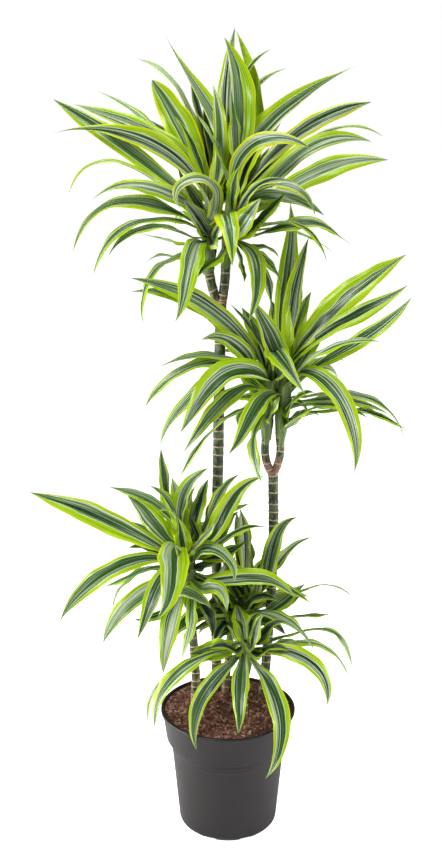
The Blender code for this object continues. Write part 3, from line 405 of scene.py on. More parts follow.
LOW_BLADES = (
    Blade("low", 0.55, 4.9, -2, ((146, 541), (90, 514), (29, 492)), 0.58, (0.55, 0.25, 0.45, 0.3)),
    Blade("low", 0.70, 2.5, -7, ((160, 508), (139, 496), (108, 487)), 0.60, (0.30, 0.15, 0.80, 0.1)),
    Blade("low", 0.80, 4.1, -3, ((173, 545), (150, 517), (127, 496)), 0.56, (0.15, 0.40, 0.60, 0.2)),
    Blade("low", 0.92, 2.3, -7, ((173, 520), (164, 485), (161, 447)), 0.60, (0.45, 0.40, 0.50, 0.1)),
    Blade("low", 0.90, 1.6, 2, ((178, 535), (169, 510), (157, 512)), 0.50, (0.40, 0.30, 0.70, 0.2)),
    Blade("low", 1.00, 3.0, -3, ((180, 506), (190, 482), (209, 468)), 0.56, (0.50, 0.15, 0.65, 0.1)),
    Blade("low", 0.60, 3.6, 2, ((184, 545), (178, 517)), 0.50, (0.45, 0.60, 0.50, 0.2)),
    Blade("low", 0.60, 6.2, 20, ((174, 550), (172, 586), (156, 620)), 0.42, (0.55, 0.25, 0.60, 0.2)),
    Blade("low", 0.45, 3.9, 7, ((146, 559), (100, 577), (60, 621)), 0.56, (0.35, 0.30, 0.60, 0.4)),
    Blade("low", 0.35, 2.4, -2, ((157, 569), (130, 577), (104, 587)), 0.56, (0.40, 0.15, 0.80, 0.1)),
    Blade("low", 0.30, 1.2, 2, ((150, 570), (132, 578), (113, 618)), 0.50, (0.25, 0.25, 0.50, 0.1)),
    Blade("low", 0.35, 3.6, 10, ((150, 588), (122, 610), (103, 644)), 0.54, (0.20, 0.35, 0.75, 0.1)),
    Blade("low", 0.25, 3.4, 13, ((166, 572), (150, 602), (137, 640)), 0.50, (0.15, 0.40, 0.50, 0.1)),
    Blade("low", 0.20, 4.0, 14, ((182, 592), (171, 620), (163, 675)), 0.48, (0.30, 0.40, 0.45, 0.1)),
    Blade("low", 0.10, 3.0, 11, ((180, 589), (194, 595), (211, 609)), 0.50, (0.40, 0.10, 0.85, 0.1)),
    Blade("low", 0.80, 4.0, 2, ((204, 545), (228, 505), (265, 476)), 0.46, (0.60, 0.35, 0.35, 0.1)),
    Blade("low", 0.95, 2.4, -7, ((210, 517), (222, 490), (241, 474)), 0.54, (0.50, 0.20, 0.40, 0.1)),
    Blade("low", 0.50, 3.3, 12, ((194, 560), (205, 548), (222, 553), (233, 583)),
          0.50, (0.36, 0.10, 0.85, 0.1)),
    Blade("low", 0.60, 2.2, 5, ((217, 547), (240, 531), (267, 527)), 0.54, (0.30, 0.40, 0.20, 0.1)),
    Blade("low", 0.30, 3.5, 8, ((228, 578), (262, 577), (296, 599)), 0.50, (0.52, 0.20, 0.30, 0.1)),
)

SIDE_BLADES = (
    Blade("side", 0.80, 3.6, 2, ((250, 600), (270, 559), (298, 517)), 0.54, (0.30, 0.22, 0.35, 0.1)),
    Blade("side", 0.80, 2.6, -3, ((262, 585), (284, 555), (312, 537)), 0.56, (0.45, 0.25, 0.20, 0.4)),
    Blade("side", 0.60, 3.0, 5, ((254, 605), (270, 590)), 0.54, (0.40, 0.20, 0.50, 0.5)),
    Blade("side", 1.00, 3.2, -3, ((245, 560), (240, 508)), 0.56, (0.30, 0.40, 0.45, 0.1)),
    Blade("side", 0.50, 3.1, 6, ((266, 612), (288, 598), (306, 583)), 0.56, (0.35, 0.30, 0.70, 0.1)),
    Blade("side", 0.40, 2.0, 2, ((270, 612), (302, 594)), 0.56, (0.30, 0.45, 0.60, 0.1)),
    Blade("side", 0.40, 1.0, 5, ((278, 606), (316, 586), (356, 600)), 0.50, (0.60, 0.20, 0.80, 0.2)),
    Blade("side", 0.35, 1.8, -2, ((285, 618), (332, 614)), 0.60, (0.40, 0.40, 0.40, 0.2)),
    Blade("side", 0.45, 2.4, 10, ((265, 613), (294, 626), (315, 651)), 0.54, (0.35, 0.15, 0.75, 0.1)),
    Blade("side", 0.40, 3.7, 8, ((215, 611), (193, 617), (168, 645)), 0.50, (0.32, 0.30, 0.30, 0.1)),
)

FRONT_BLADES = (
    Blade("front", 0.80, 1.6, 0, ((270, 642), (318, 630), (353, 670)), 0.54, (0.40, 0.20, 0.80, 0.2)),
    Blade("front", 0.70, 2.0, 4, ((265, 650), (300, 643), (350, 678)), 0.54, (0.45, 0.25, 0.70, 0.1)),
    Blade("front", 0.60, 3.5, 8, ((280, 650), (314, 665), (327, 706)), 0.54, (0.45, 0.35, 0.25, 0.2)),
    Blade("front", 0.40, 4.0, 12, ((262, 673), (281, 719), (265, 779)), 0.38, (0.38, 0.28, 0.30, 0.1)),
    Blade("front", 0.60, 3.6, 10, ((243, 664), (240, 700), (238, 735)), 0.36, (0.30, 0.28, 0.50, 0.1)),
    Blade("front", 0.50, 3.4, 8, ((226, 668), (203, 695), (197, 751)), 0.40, (0.22, 0.34, 0.35, 0.1)),
    Blade("front", 0.90, 4.4, 2, ((215, 650), (189, 654)), 0.50, (0.45, 0.45, 0.15, 0.3)),
    Blade("front", 0.60, 2.8, 6, ((210, 655), (174, 677), (155, 729)), 0.54, (0.30, 0.45, 0.55, 0.2)),
    Blade("front", 0.45, 1.5, 9, ((200, 662), (165, 680), (148, 725)), 0.50, (0.35, 0.35, 0.40, 0.1)),
)

ALL_BLADES = TALL_BLADES + MIDDLE_BLADES + LOW_BLADES + SIDE_BLADES + FRONT_BLADES

# Smaller blades that only the looks have: they fill the hearts of the heads.
# Those with a grey under 0 are painted darker, as shade deep in a head.
EXTRA_BLADES = (
    Blade("tall_right", 0.80, 2.2, -8, ((240, 95), (254, 62), (271, 49)), 0.56, (0.45, 0.15, 0.15, 0.2)),
    Blade("tall_left", 0.05, 1.0, 3, ((190, 260), (168, 256), (145, 263)), 0.50, (0.35, 0.35, 0.70, 0.1)),
    Blade("tall_right", 0.02, 1.3, 3, ((256, 262), (268, 285), (270, 312)), 0.50, (0.25, 0.25, 0.20, 0.1)),
    Blade("tall_right", 0.12, 1.5, 2, ((258, 248), (270, 249), (279, 258)), 0.50, (0.30, 0.30, 0.50, 0.1)),
    Blade("tall_right", 0.04, 1.5, 3, ((238, 258), (244, 283)), 0.50, (0.30, 0.30, 0.60, 0.1)),
    Blade("tall_left", 0.75, 2.4, -8, ((206, 150), (199, 115), (190, 79)), 0.56, (0.30, 0.30, -0.80, 0.2)),
    Blade("tall_left", 0.85, 2.6, -6, ((214, 160), (208, 130), (203, 105)), 0.54, (0.10, 0.10, -0.90, 0.1)),
    Blade("tall_right", 0.95, 1.6, -3, ((234, 140), (232, 110), (231, 87)), 0.54, (0.30, 0.30, 0.70, 0.1)),
    Blade("tall_right", 0.80, 2.2, -13, ((234, 150), (230, 115), (219, 88)), 0.54, (0.50, 0.50, 0.30, 0.8)),
    Blade("tall_right", 0.60, 2.8, -6, ((245, 190), (258, 165), (270, 147)), 0.54, (0.40, 0.25, 0.10, 0.2)),
    Blade("tall_right", 0.70, 1.8, -10, ((250, 160), (268, 140), (281, 122)), 0.54, (0.25, 0.40, 0.60, 0.2)),
    Blade("tall_left", 0.70, 3.0, -9, ((196, 172), (172, 140), (150, 120)), 0.54, (0.35, 0.25, -0.30, 0.3)),
    Blade("tall_left", 0.45, 2.6, 9, ((205, 215), (190, 192), (178, 168)), 0.54, (0.25, 0.35, -0.40, 0.2)),
    Blade("tall_right", 0.45, 2.6, 8, ((232, 215), (233, 190), (240, 165)), 0.54, (0.60, 0.30, 0.50, 0.3)),
    Blade("tall_left", 0.25, 3.4, 8, ((207, 233), (196, 214), (183, 199)), 0.54, (0.20, 0.25, -0.50, 0.1)),
    Blade("tall_left", 0.15, 2.4, 9, ((206, 241), (201, 229), (195, 215)), 0.50, (0.30, 0.30, 0.30, 0.1)),
    Blade("tall_right", 0.08, 2.4, 8, ((232, 240), (239, 229), (247, 219)), 0.50, (0.30, 0.30, 0.30, 0.1)),
    Blade("tall_left", 0.10, 2.2, 8, ((213, 244), (217, 232), (222, 220)), 0.50, (0.30, 0.30, 0.50, 0.1)),
    Blade("middle_right", 0.90, 2.0, -5, ((292, 330), (298, 310), (302, 284)), 0.54, (0.35, 0.35, 0.60, 0.1)),
    Blade("middle_right", 0.50, 2.0, -3, ((310, 372), (325, 367), (338, 381)), 0.54, (0.15, 0.15, 0.90, 0.1)),
    Blade("middle_left", 0.80, 1.4, -3, ((254, 335), (242, 318), (229, 302)), 0.54, (0.30, 0.30, 0.50, 0.1)),
    Blade("middle_right", 0.30, 1.3, 3, ((296, 402), (311, 416)), 0.54, (0.30, 0.30, 0.30, 0.1)),
    Blade("middle_right", 0.95, 2.2, 3, ((289, 352), (289, 335), (290, 305)), 0.50, (0.85, 0.85, 0.30, 0.3)),
    Blade("middle_left", 0.45, 2.4, 1, ((264, 386), (252, 377), (238, 371)), 0.54, (0.45, 0.45, 0.45, 0.2)),
    Blade("middle_left", 0.35, 2.4, 0, ((264, 405), (250, 398), (236, 400)), 0.54, (0.45, 0.40, 0.40, 0.1)),
    Blade("middle_left", 0.20, 2.4, 2, ((260, 412), (248, 410), (238, 426)), 0.54, (0.40, 0.35, 0.45, 0.1)),
    Blade("middle_right", 0.25, 2.0, 8, ((283, 415), (296, 400), (316, 393)), 0.54, (0.45, 0.40, 0.50, 0.1)),
    Blade("middle_right", 0.10, 1.8, 7, ((290, 421), (304, 414), (322, 416)), 0.54, (0.40, 0.35, 0.50, 0.1)),
    Blade("middle_left", 0.10, 2.0, 8, ((271, 416), (275, 408), (280, 396)), 0.50, (0.30, 0.30, 0.60, 0.1)),
    Blade("middle_right", 0.15, 2.0, 8, ((278, 412), (274, 403), (267, 393)), 0.50, (0.30, 0.30, 0.50, 0.1)),
    Blade("low", 0.85, 2.2, -4, ((175, 515), (160, 492), (148, 485)), 0.54, (0.25, 0.45, 0.50, 0.1)),
    Blade("low", 0.95, 1.5, -5, ((187, 505), (198, 482)), 0.54, (0.30, 0.30, -0.35, 0.1)),
    Blade("low", 0.05, 2.6, 2, ((178, 606), (160, 616), (132, 620)), 0.50, (0.45, 0.15, -0.35, 0.1)),
    Blade("low", 0.80, 1.8, -2, ((200, 548), (196, 530), (190, 512)), 0.54, (0.30, 0.30, -0.90, 0.1)),
    Blade("low", 0.45, 2.8, 3, ((200, 570), (210, 563), (222, 562)), 0.54, (0.25, 0.25, -0.75, 0.1)),
    Blade("low", 0.35, 2.6, 0, ((196, 588), (212, 582), (228, 596)), 0.54, (0.30, 0.30, -0.65, 0.1)),
    Blade("low", 0.20, 3.2, 8, ((204, 588), (216, 588), (227, 612)), 0.50, (0.40, 0.40, 0.70, 0.1)),
    Blade("low", 0.05, 2.4, 11, ((192, 604), (190, 632), (180, 662)), 0.48, (0.30, 0.45, 0.50, 0.1)),
    Blade("low", 0.50, 2.6, -5, ((170, 560), (148, 548), (128, 548)), 0.54, (0.30, 0.30, -0.65, 0.1)),
    Blade("low", 0.70, 2.4, 8, ((192, 552), (205, 538), (215, 520)), 0.54, (0.35, 0.35, -0.35, 0.1)),
    Blade("low", 0.40, 2.6, 9, ((184, 566), (180, 556), (174, 544)), 0.54, (0.35, 0.35, 0.40, 0.1)),
    Blade("side", 0.90, 2.0, 1, ((243, 598), (235, 585)), 0.54, (0.30, 0.30, 0.40, 0.3)),
    Blade("side", 0.50, 2.8, 5, ((231, 600), (217, 584)), 0.54, (0.35, 0.35, 0.60, 0.1)),
    Blade("side", 0.95, 2.0, 1, ((246, 600), (243, 580), (236, 556)), 0.54, (0.40, 0.40, -0.35, 0.5)),
    Blade("side", 0.90, 2.2, 2, ((250, 602), (258, 585), (264, 566)), 0.54, (0.45, 0.25, 0.40, 0.4)),
    Blade("side", 1.00, 2.0, -4, ((246, 588), (252, 565), (250, 540)), 0.54, (0.35, 0.35, -0.65, 0.1)),
    Blade("side", 0.60, 2.6, 12, ((232, 614), (237, 632), (245, 654)), 0.48, (0.35, 0.45, 0.60, 0.1)),
    Blade("side", 0.30, 2.4, 6, ((226, 620), (210, 622), (192, 633)), 0.54, (0.25, 0.25, -0.35, 0.1)),
    Blade("side", 0.30, 2.6, 8, ((251, 621), (267, 622), (286, 635)), 0.54, (0.30, 0.30, -0.65, 0.1)),
    Blade("side", 0.20, 2.4, 8, ((232, 627), (222, 634), (210, 650)), 0.54, (0.30, 0.30, -0.35, 0.1)),
    Blade("front", 0.95, 2.6, 1, ((252, 645), (268, 630), (286, 622)), 0.54, (0.30, 0.30, -0.35, 0.1)),
    Blade("front", 1.00, 1.6, 0, ((247, 640), (252, 625), (262, 612)), 0.54, (0.40, 0.40, -0.35, 0.6)),
    Blade("front", 1.00, 1.4, 1, ((243, 640), (240, 628), (232, 618)), 0.54, (0.40, 0.40, -0.35, 0.6)),
    Blade("low", 0.75, 2.6, -4, ((207, 560), (222, 535), (240, 511)), 0.54, (0.25, 0.30, -0.65, 0.1)),
    Blade("low", 0.55, 2.6, 4, ((222, 555), (236, 549), (247, 540)), 0.54, (0.35, 0.30, -0.35, 0.1)),
    Blade("side", 1.00, 2.4, -5, ((241, 560), (236, 510)), 0.54, (0.25, 0.30, -0.65, 0.1)),
    Blade("side", 0.50, 2.0, 6, ((226, 568), (234, 553), (246, 540)), 0.54, (0.35, 0.30, -0.35, 0.1)),
    Blade("front", 1.00, 2.4, 1, ((249, 650), (256, 633), (266, 615)), 0.54, (0.35, 0.35, -0.35, 0.2)),
    Blade("side", 0.30, 3.2, 8, ((229, 608), (217, 602), (204, 613)), 0.46, (0.30, 0.30, -0.75, 0.1)),
    Blade("side", 0.15, 3.0, 9, ((230, 620), (221, 628), (215, 648)), 0.44, (0.25, 0.30, -0.85, 0.1)),
    Blade("side", 0.10, 2.8, 6, ((228, 624), (214, 621), (199, 634)), 0.46, (0.30, 0.30, -0.65, 0.1)),
    Blade("low", 0.12, 3.0, 6, ((197, 598), (207, 611), (212, 637)), 0.44, (0.30, 0.30, -0.85, 0.1)),
    Blade("low", 0.25, 2.8, 5, ((199, 585), (212, 590), (219, 607)), 0.46, (0.25, 0.30, -0.85, 0.1)),
    Blade("side", 0.70, 2.6, 4, ((237, 596), (229, 575), (228, 556)), 0.46, (0.30, 0.30, -0.65, 0.1)),
    Blade("side", 0.60, 3.0, 6, ((251, 603), (264, 597), (280, 602)), 0.46, (0.30, 0.30, -0.55, 0.1)),
    Blade("front", 0.80, 2.6, 5, ((257, 655), (272, 648), (290, 652)), 0.44, (0.30, 0.30, -0.35, 0.2)),
    Blade("front", 0.80, 2.6, 6, ((236, 652), (224, 646), (208, 650)), 0.44, (0.30, 0.30, -0.55, 0.2)),
)


def unit(vectors):
    """The vectors at length one."""
    return vectors / np.linalg.norm(vectors, axis=-1, keepdims=True)


def square_to(vectors, tangents):
    """The part of each vector that is square to its tangent, at length one."""
    along = np.sum(vectors * tangents, axis=-1, keepdims=True)
    return unit(vectors - along * tangents)


def eased(values):
    """0 below 0, 1 above 1, and the smooth cubic between."""
    held = np.clip(values, 0.0, 1.0)
    return held * held * (3 - 2 * held)


def smooth_line(points, shares):
    """The polynomial through the points, read at shares of its length: places, tangents, and the length."""
    points = np.asarray(points, dtype=float)
    chords = np.concatenate(((0.0,), np.cumsum(np.linalg.norm(np.diff(points, axis=0), axis=1))))
    chords /= chords[-1]
    curve = np.polyfit(chords, points, len(points) - 1)
    fine = np.linspace(0.0, 1.0, LINE_SAMPLES)
    powers = np.vander(fine, len(points))
    places = powers @ curve
    walked = np.concatenate(((0.0,), np.cumsum(np.linalg.norm(np.diff(places, axis=0), axis=1))))
    at = np.interp(shares, walked / walked[-1], fine)
    centres = np.vander(at, len(points)) @ curve
    ahead = np.vander(np.minimum(at + TANGENT_STEP, 1.0), len(points)) @ curve
    behind = np.vander(np.maximum(at - TANGENT_STEP, 0.0), len(points)) @ curve
    return centres, unit(ahead - behind), walked[-1]


def sight_point(pixel, depth):
    """The point on the viewer's sight line through a pixel where Y is the given depth."""
    right = np.array((math.cos(LOOK_LEFT), math.sin(LOOK_LEFT), 0.0))
    level = np.array((-math.sin(LOOK_LEFT), math.cos(LOOK_LEFT), 0.0))
    ahead = level * math.cos(LOOK_DOWN) - UP * math.sin(LOOK_DOWN)
    upward = np.cross(right, ahead)
    across = (pixel[0] - FRAME_MIDDLE[0]) / FOCAL_PIXELS
    above = (FRAME_MIDDLE[1] - pixel[1]) / FOCAL_PIXELS
    sight = ahead + right * across + upward * above
    return EYE + sight * (depth - EYE[1]) / sight[1]


def shoot_line(shoot, share):
    """Where a share of the shoot's length is, and the way that the shoot grows there."""
    centres, tangents, _ = smooth_line(shoot.line, (share,))
    return centres[0], tangents[0]


def near_root(blade, order, slide):
    """The share of the shoot's length where a blade that the viewer sees is rooted."""
    at = min(max(blade.at + slide, 0.0), 1.0) + ROOT_STAGGER * (order % 7)
    return LOWEST_ROOT + ROOT_ZONE * at


def near_line(blade, order, shift, slide):
    """The root and the picture points in space: the blade comes out fast at first, then levels off."""
    root, stem = shoot_line(SHOOTS[blade.shoot], near_root(blade, order, slide))
    flat = [np.array(sight_point(pixel, root[1])) for pixel in blade.pixels]
    walked = np.cumsum([np.linalg.norm(b - a) for a, b in zip([root] + flat, flat)])
    out = (blade.out_cm + shift) / 100 * (1 - (1 - walked / walked[-1]) ** LEVELLING)
    points = [sight_point(pixel, root[1] - step) for pixel, step in zip(blade.pixels, out)]
    return [root] + points, stem


def upper_face(centres, tangents, stem, seen_share):
    """Which way the upper face looks: towards the stem at the root, then rolled to the viewer."""
    towards = unit(EYE - centres) + SKY_PULL * UP
    facing = square_to(towards, tangents)
    side = np.cross(tangents, facing)
    roll = math.acos(min(seen_share, 1.0))
    rolled = [facing * math.cos(roll) + side * math.sin(roll) * turn for turn in (1.0, -1.0)]
    best = max(rolled, key=lambda face: face[:, 2].mean())
    clasping = square_to(np.broadcast_to(stem, tangents.shape), tangents)
    ease = eased(np.linspace(0.0, 1.0, len(centres))[:, None] / ROLL_EASE)
    return square_to(clasping * (1 - ease) + best * ease, tangents)


def blade_width(shares, widest, draw):
    """The outline: a narrow clasping base, widest near the middle, then a tip more or less drawn out."""
    rising = BASE_SHARE + (1 - BASE_SHARE) * eased(shares / widest)
    past = np.clip((shares - widest) / (1 - widest), 0.0, 1.0)
    falling = (1 - past ** 2) ** draw
    return np.where(shares < widest, rising, falling)


def near_run(blade, order, shift, slide, stations):
    """The run of a blade that the viewer sees: middle line, tangents, upper faces, width, where it is
    widest and how its tip is drawn out, and the phase of its waves."""
    points, stem = near_line(blade, order, shift, slide)
    centres, tangents, _ = smooth_line(points, np.linspace(0.0, 1.0, stations))
    width = max(blade.seen_cm / 100, USUAL_WIDTH)
    faces_up = upper_face(centres, tangents, stem, blade.seen_cm / 100 / width)
    return centres, tangents, faces_up, width, (blade.widest, blade.draw), NEAR_PHASE * order


def hidden_root(shoot, order, slide):
    """The share of the shoot's length where a blade at its back is rooted."""
    share = (order + 0.5) / shoot.hidden
    return LOWEST_ROOT + ROOT_ZONE * (BACK_ROOT + BACK_ROOT_ZONE * share + slide)


def hidden_run(shoot, order, shift, slide, stations):
    """The run of a blade at the back of a shoot: each stands a golden turn on from the last."""
    share = (order + 0.5) / shoot.hidden
    root, stem = shoot_line(shoot, hidden_root(shoot, order, slide))
    azimuth = math.radians(FAN_START + FAN_SPREAD * (order * GOLDEN_TURN % 1.0) + FAN_TURN * shift)
    rise = math.radians(LOWEST_RISE + RISE_SPREAD * share)
    length = shoot.reach * (1 - TOP_SHORTER * share)
    outward = np.array((math.cos(azimuth), math.sin(azimuth), 0.0))
    droop = DROOP * (1 - TOP_STIFFER * share)
    points = []
    for step in FAN_STEPS:
        climb = UP * (math.sin(rise) * step - droop * step ** 2)
        points.append(root + length * (outward * math.cos(rise) * step + climb))
    centres, tangents, _ = smooth_line(points, np.linspace(0.0, 1.0, stations))
    faces_up = square_to(np.broadcast_to(stem, tangents.shape), tangents)
    return centres, tangents, faces_up, HIDDEN_WIDTH, (USUAL_WIDEST, TIP_DRAW), BACK_PHASE * order


def coarse_rings(run, shift, slide, stations):
    """Left edge, rib and right edge at each station, as the blade's solid has them."""
    centres, tangents, faces_up, width, outline, phase = run(shift, slide, stations)
    shares = np.linspace(0.0, 1.0, stations)
    half = (width / 2 * blade_width(shares, *outline))[:, None]
    fold = (BLADE_FOLD + (ROOT_FOLD - BLADE_FOLD) * np.exp(-shares / FOLD_FADE))[:, None]
    across = np.cross(tangents, faces_up)
    swell = (EDGE_WAVE * np.sin(math.pi * shares))[:, None]
    left_wave = swell * np.sin(LEFT_WAVES * shares + phase)[:, None]
    right_wave = swell * np.sin(RIGHT_WAVES * shares + RIGHT_PHASE * phase)[:, None]
    left = centres - across * half * np.cos(fold) + faces_up * (half * np.sin(fold) + left_wave)
    right = centres + across * half * np.cos(fold) + faces_up * (half * np.sin(fold) + right_wave)
    return np.stack((left, centres + faces_up * RIB_THICKNESS / 2, right), axis=1)


def shoot_radius(shoot, shares):
    """The shoot swells where the blades clasp it closest."""
    return np.interp(shares, (0.0, 0.55, 1.0), shoot.radii)


def round_obstacles():
    """Points down the middle of every cane and shoot, with the radius there and the head it belongs to."""
    centres, radii, owners = [], [], []
    shares = np.linspace(0.0, 1.0, CANE_SAMPLES)
    for cane in CANES.values():
        for line, radius in ((cane.line, cane.radius), *((arm, cane.arm_radius) for arm in cane.arms)):
            centres.append(smooth_line(line, shares)[0])
            radii.append(np.full(CANE_SAMPLES, radius + RING_HEIGHT))
            owners += [""] * CANE_SAMPLES
    shares = np.linspace(0.0, 1.0, SHOOT_SAMPLES)
    for head, names in HEAD_SHOOTS.items():
        for name in names:
            centres.append(smooth_line(SHOOTS[name].line, shares)[0])
            radii.append(shoot_radius(SHOOTS[name], shares))
            owners += [head] * SHOOT_SAMPLES
    return np.concatenate(centres), np.concatenate(radii), np.array(owners)


def trespass(rings, head, obstacles):
    """How many of a blade's sample points lie in a cane, another head's shoot, the pot or the soil."""
    stations = np.linspace(0.0, len(rings) - 1.0, SAMPLES_PER_STATION * len(rings))
    low = np.minimum(stations.astype(int), len(rings) - 2)
    share = (stations - low)[:, None, None]
    three = rings[low] * (1 - share) + rings[low + 1] * share
    halfway = (three[:, :2] + three[:, 1:]) / 2
    samples = np.concatenate((three.reshape(-1, 3), halfway.reshape(-1, 3)))
    centres, radii, owners = obstacles
    others = owners != head
    gaps = np.linalg.norm(samples[:, None] - centres[None, others], axis=2) - radii[None, others]
    round_hits = (gaps.min(axis=1) < CLEARANCE).sum()
    reach = np.linalg.norm(samples[:, :2], axis=1)
    low_down = samples[:, 2] < POT_HEIGHT + CLEARANCE
    return round_hits + (low_down & (reach < LIP_RADIUS + CLEARANCE)).sum()


def crossings(tree, head, placed):
    """How many triangle pairs cross: blades of another head count for many."""
    total = 0
    for other_head, other in placed:
        pairs = len(tree.overlap(other))
        total += pairs if other_head == head else OTHER_HEAD_COST * pairs
    return total


def outer_tree(rings):
    """A search tree of a blade's thin skin beyond its crowded root."""
    skin = rings[ROOT_STATIONS:]
    faces = []
    for station in range(len(skin) - 1):
        here = 3 * station
        faces += [(here, here + 3, here + 4), (here, here + 4, here + 1)]
        faces += [(here + 2, here + 1, here + 4), (here + 2, here + 4, here + 5)]
    return BVHTree.FromPolygons(skin.reshape(-1, 3).tolist(), faces)


def settle(run, stations, head, placed, obstacles):
    """The shift and slide, of a few tried in turn, at which a blade crosses least of what is placed."""
    best = None
    for shift, slide in product(SHIFTS, SLIDES):
        rings = coarse_rings(run, shift, slide, stations)
        tree = outer_tree(rings)
        cost = crossings(tree, head, placed) + SHIFT_COST * abs(shift) + SLIDE_COST * abs(slide)
        if best is None or cost < best[0]:
            cost += OTHER_HEAD_COST * trespass(rings, head, obstacles)
        if best is None or cost < best[0]:
            best = (cost, shift, slide, tree)
        if cost < GOOD_ENOUGH:
            break
    placed.append((head, best[3]))
    return best[1:3]


def near_stations(blade):
    """Stations about a hand's breadth apart, fewer on a short blade."""
    points, _ = near_line(blade, 0, 0.0, 0.0)
    length = smooth_line(points, (0.0,))[2]
    return int(min(max(round(length / STATION_STEP) + 1, FEWEST_STATIONS), MOST_STATIONS))


class Settled(NamedTuple):
    """A blade in its place: its run at any fineness, its shoot, its root's share, its rows and stripes."""
    run: object
    shoot: Shoot
    root: float
    rows: int
    stripes: tuple


def settled_near(blades, first_order, rows, placed, obstacles, heads):
    """Place the blades that the viewer sees, head by head, each bent clear of those before it."""
    for head, names in HEAD_SHOOTS.items():
        for name in names:
            near = [blade for blade in blades if blade.shoot == name]
            for order, blade in enumerate(near, first_order):
                run = partial(near_run, blade, order)
                shift, slide = settle(run, near_stations(blade), head, placed, obstacles)
                root = near_root(blade, order, slide)
                still = partial(run, shift, slide)
                heads[head].append(Settled(still, SHOOTS[name], root, rows, blade.stripes))


def settled_hidden(placed, obstacles, heads):
    """Place the blades at the backs of the shoots."""
    for head, names in HEAD_SHOOTS.items():
        for name in names:
            shoot = SHOOTS[name]
            for order in range(shoot.hidden):
                run = partial(hidden_run, shoot, order)
                shift, slide = settle(run, HIDDEN_STATIONS, head, placed, obstacles)
                root = hidden_root(shoot, order, slide)
                heads[head].append(Settled(partial(run, shift, slide), shoot, root, BACK_ROWS, ()))


def settled_blades():
    """For each head, all its blades in their places."""
    obstacles = round_obstacles()
    placed = []
    heads = {head: [] for head in HEAD_SHOOTS}
    settled_near(ALL_BLADES, 0, NEAR_ROWS, placed, obstacles, heads)
    settled_hidden(placed, obstacles, heads)
    settled_near(EXTRA_BLADES, EXTRA_ORDER, BACK_ROWS, placed, obstacles, heads)
    return heads


def wrapped_quads(rows, columns):
    """The quads of a grid that closes on itself across, rows one after the other."""
    row = np.arange(rows - 1)[:, None] * columns
    column = np.arange(columns)[None, :]
    after = (column + 1) % columns
    quads = np.stack((row + column, row + after, row + columns + after, row + columns + column), axis=-1)
    return quads.reshape(-1, 4)


def fan(centre, ring, outward):
    """Triangles from one point to each pair of neighbours on a closed ring."""
    after = np.roll(ring, -1)
    pair = (ring, after) if outward else (after, ring)
    return np.stack((np.full(len(ring), centre), *pair), axis=-1)


def closed_tube(rings):
    """Points, quads and triangles of rings of points, closed at both ends by a point in the middle."""
    rows, columns, _ = rings.shape
    ends = np.stack((rings[0].mean(axis=0), rings[-1].mean(axis=0)))
    points = np.concatenate((rings.reshape(-1, 3), ends))
    first, last = np.arange(columns), np.arange(columns) + (rows - 1) * columns
    triangles = np.concatenate((fan(rows * columns, first, False), fan(rows * columns + 1, last, True)))
    return points, wrapped_quads(rows, columns), triangles


def closed_values(values):
    """A closed tube's values at its points: those of the rings, then the means of the two end rings."""
    flat = values.reshape(-1, *values.shape[2:])
    ends = np.stack((values[0].mean(axis=0), values[-1].mean(axis=0)))
    return np.concatenate((flat, ends))


def grid_values(shape, *parts):
    """Vectors at a closed tube's points; each part is one number, a row or a column of the grid."""
    return closed_values(np.stack([np.broadcast_to(part, shape) for part in parts], axis=-1))


class Skin(NamedTuple):
    """One closed surface: its points, quads, triangles, and named values at the points."""
    points: np.ndarray
    quads: np.ndarray
    triangles: np.ndarray
    values: dict


def joined(skins):
    """Several surfaces as one."""
    offsets = np.cumsum([0] + [len(skin.points) for skin in skins[:-1]])
    return Skin(
        np.concatenate([skin.points for skin in skins]),
        np.concatenate([skin.quads + offset for skin, offset in zip(skins, offsets)]),
        np.concatenate([skin.triangles + offset for skin, offset in zip(skins, offsets)]),
        {name: np.concatenate([skin.values[name] for skin in skins]) for name in skins[0].values})


def new_piece(name, skin, look, node, sharp_angle=50):
    """A mesh object of the surface, riding on the root body in the place of a CAD node."""
    mesh = bpy.data.meshes.new(name)
    corners = np.concatenate((skin.quads.ravel(), skin.triangles.ravel())).astype(np.int32)
    totals = np.concatenate((np.full(len(skin.quads), 4), np.full(len(skin.triangles), 3))).astype(np.int32)
    mesh.vertices.add(len(skin.points))
    mesh.vertices.foreach_set("co", skin.points.astype(np.float32).ravel())
    mesh.loops.add(len(corners))
    mesh.loops.foreach_set("vertex_index", corners)
    mesh.polygons.add(len(totals))
    mesh.polygons.foreach_set("loop_start", (np.cumsum(totals) - totals).astype(np.int32))
    mesh.polygons.foreach_set("loop_total", totals)
    mesh.update(calc_edges=True)
    for label, values in skin.values.items():
        flat = values.ndim == 1
        attribute = mesh.attributes.new(label, "FLOAT" if flat else "FLOAT_VECTOR", "POINT")
        attribute.data.foreach_set("value" if flat else "vector", values.astype(np.float32).ravel())
    mesh.materials.append(look)
    mesh.shade_smooth()
    mesh.set_sharp_from_angle(angle=math.radians(sharp_angle))
    piece = bpy.data.objects.new(name, mesh)
    bpy.context.scene.collection.objects.link(piece)
    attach(piece, "root")
    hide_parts(node)


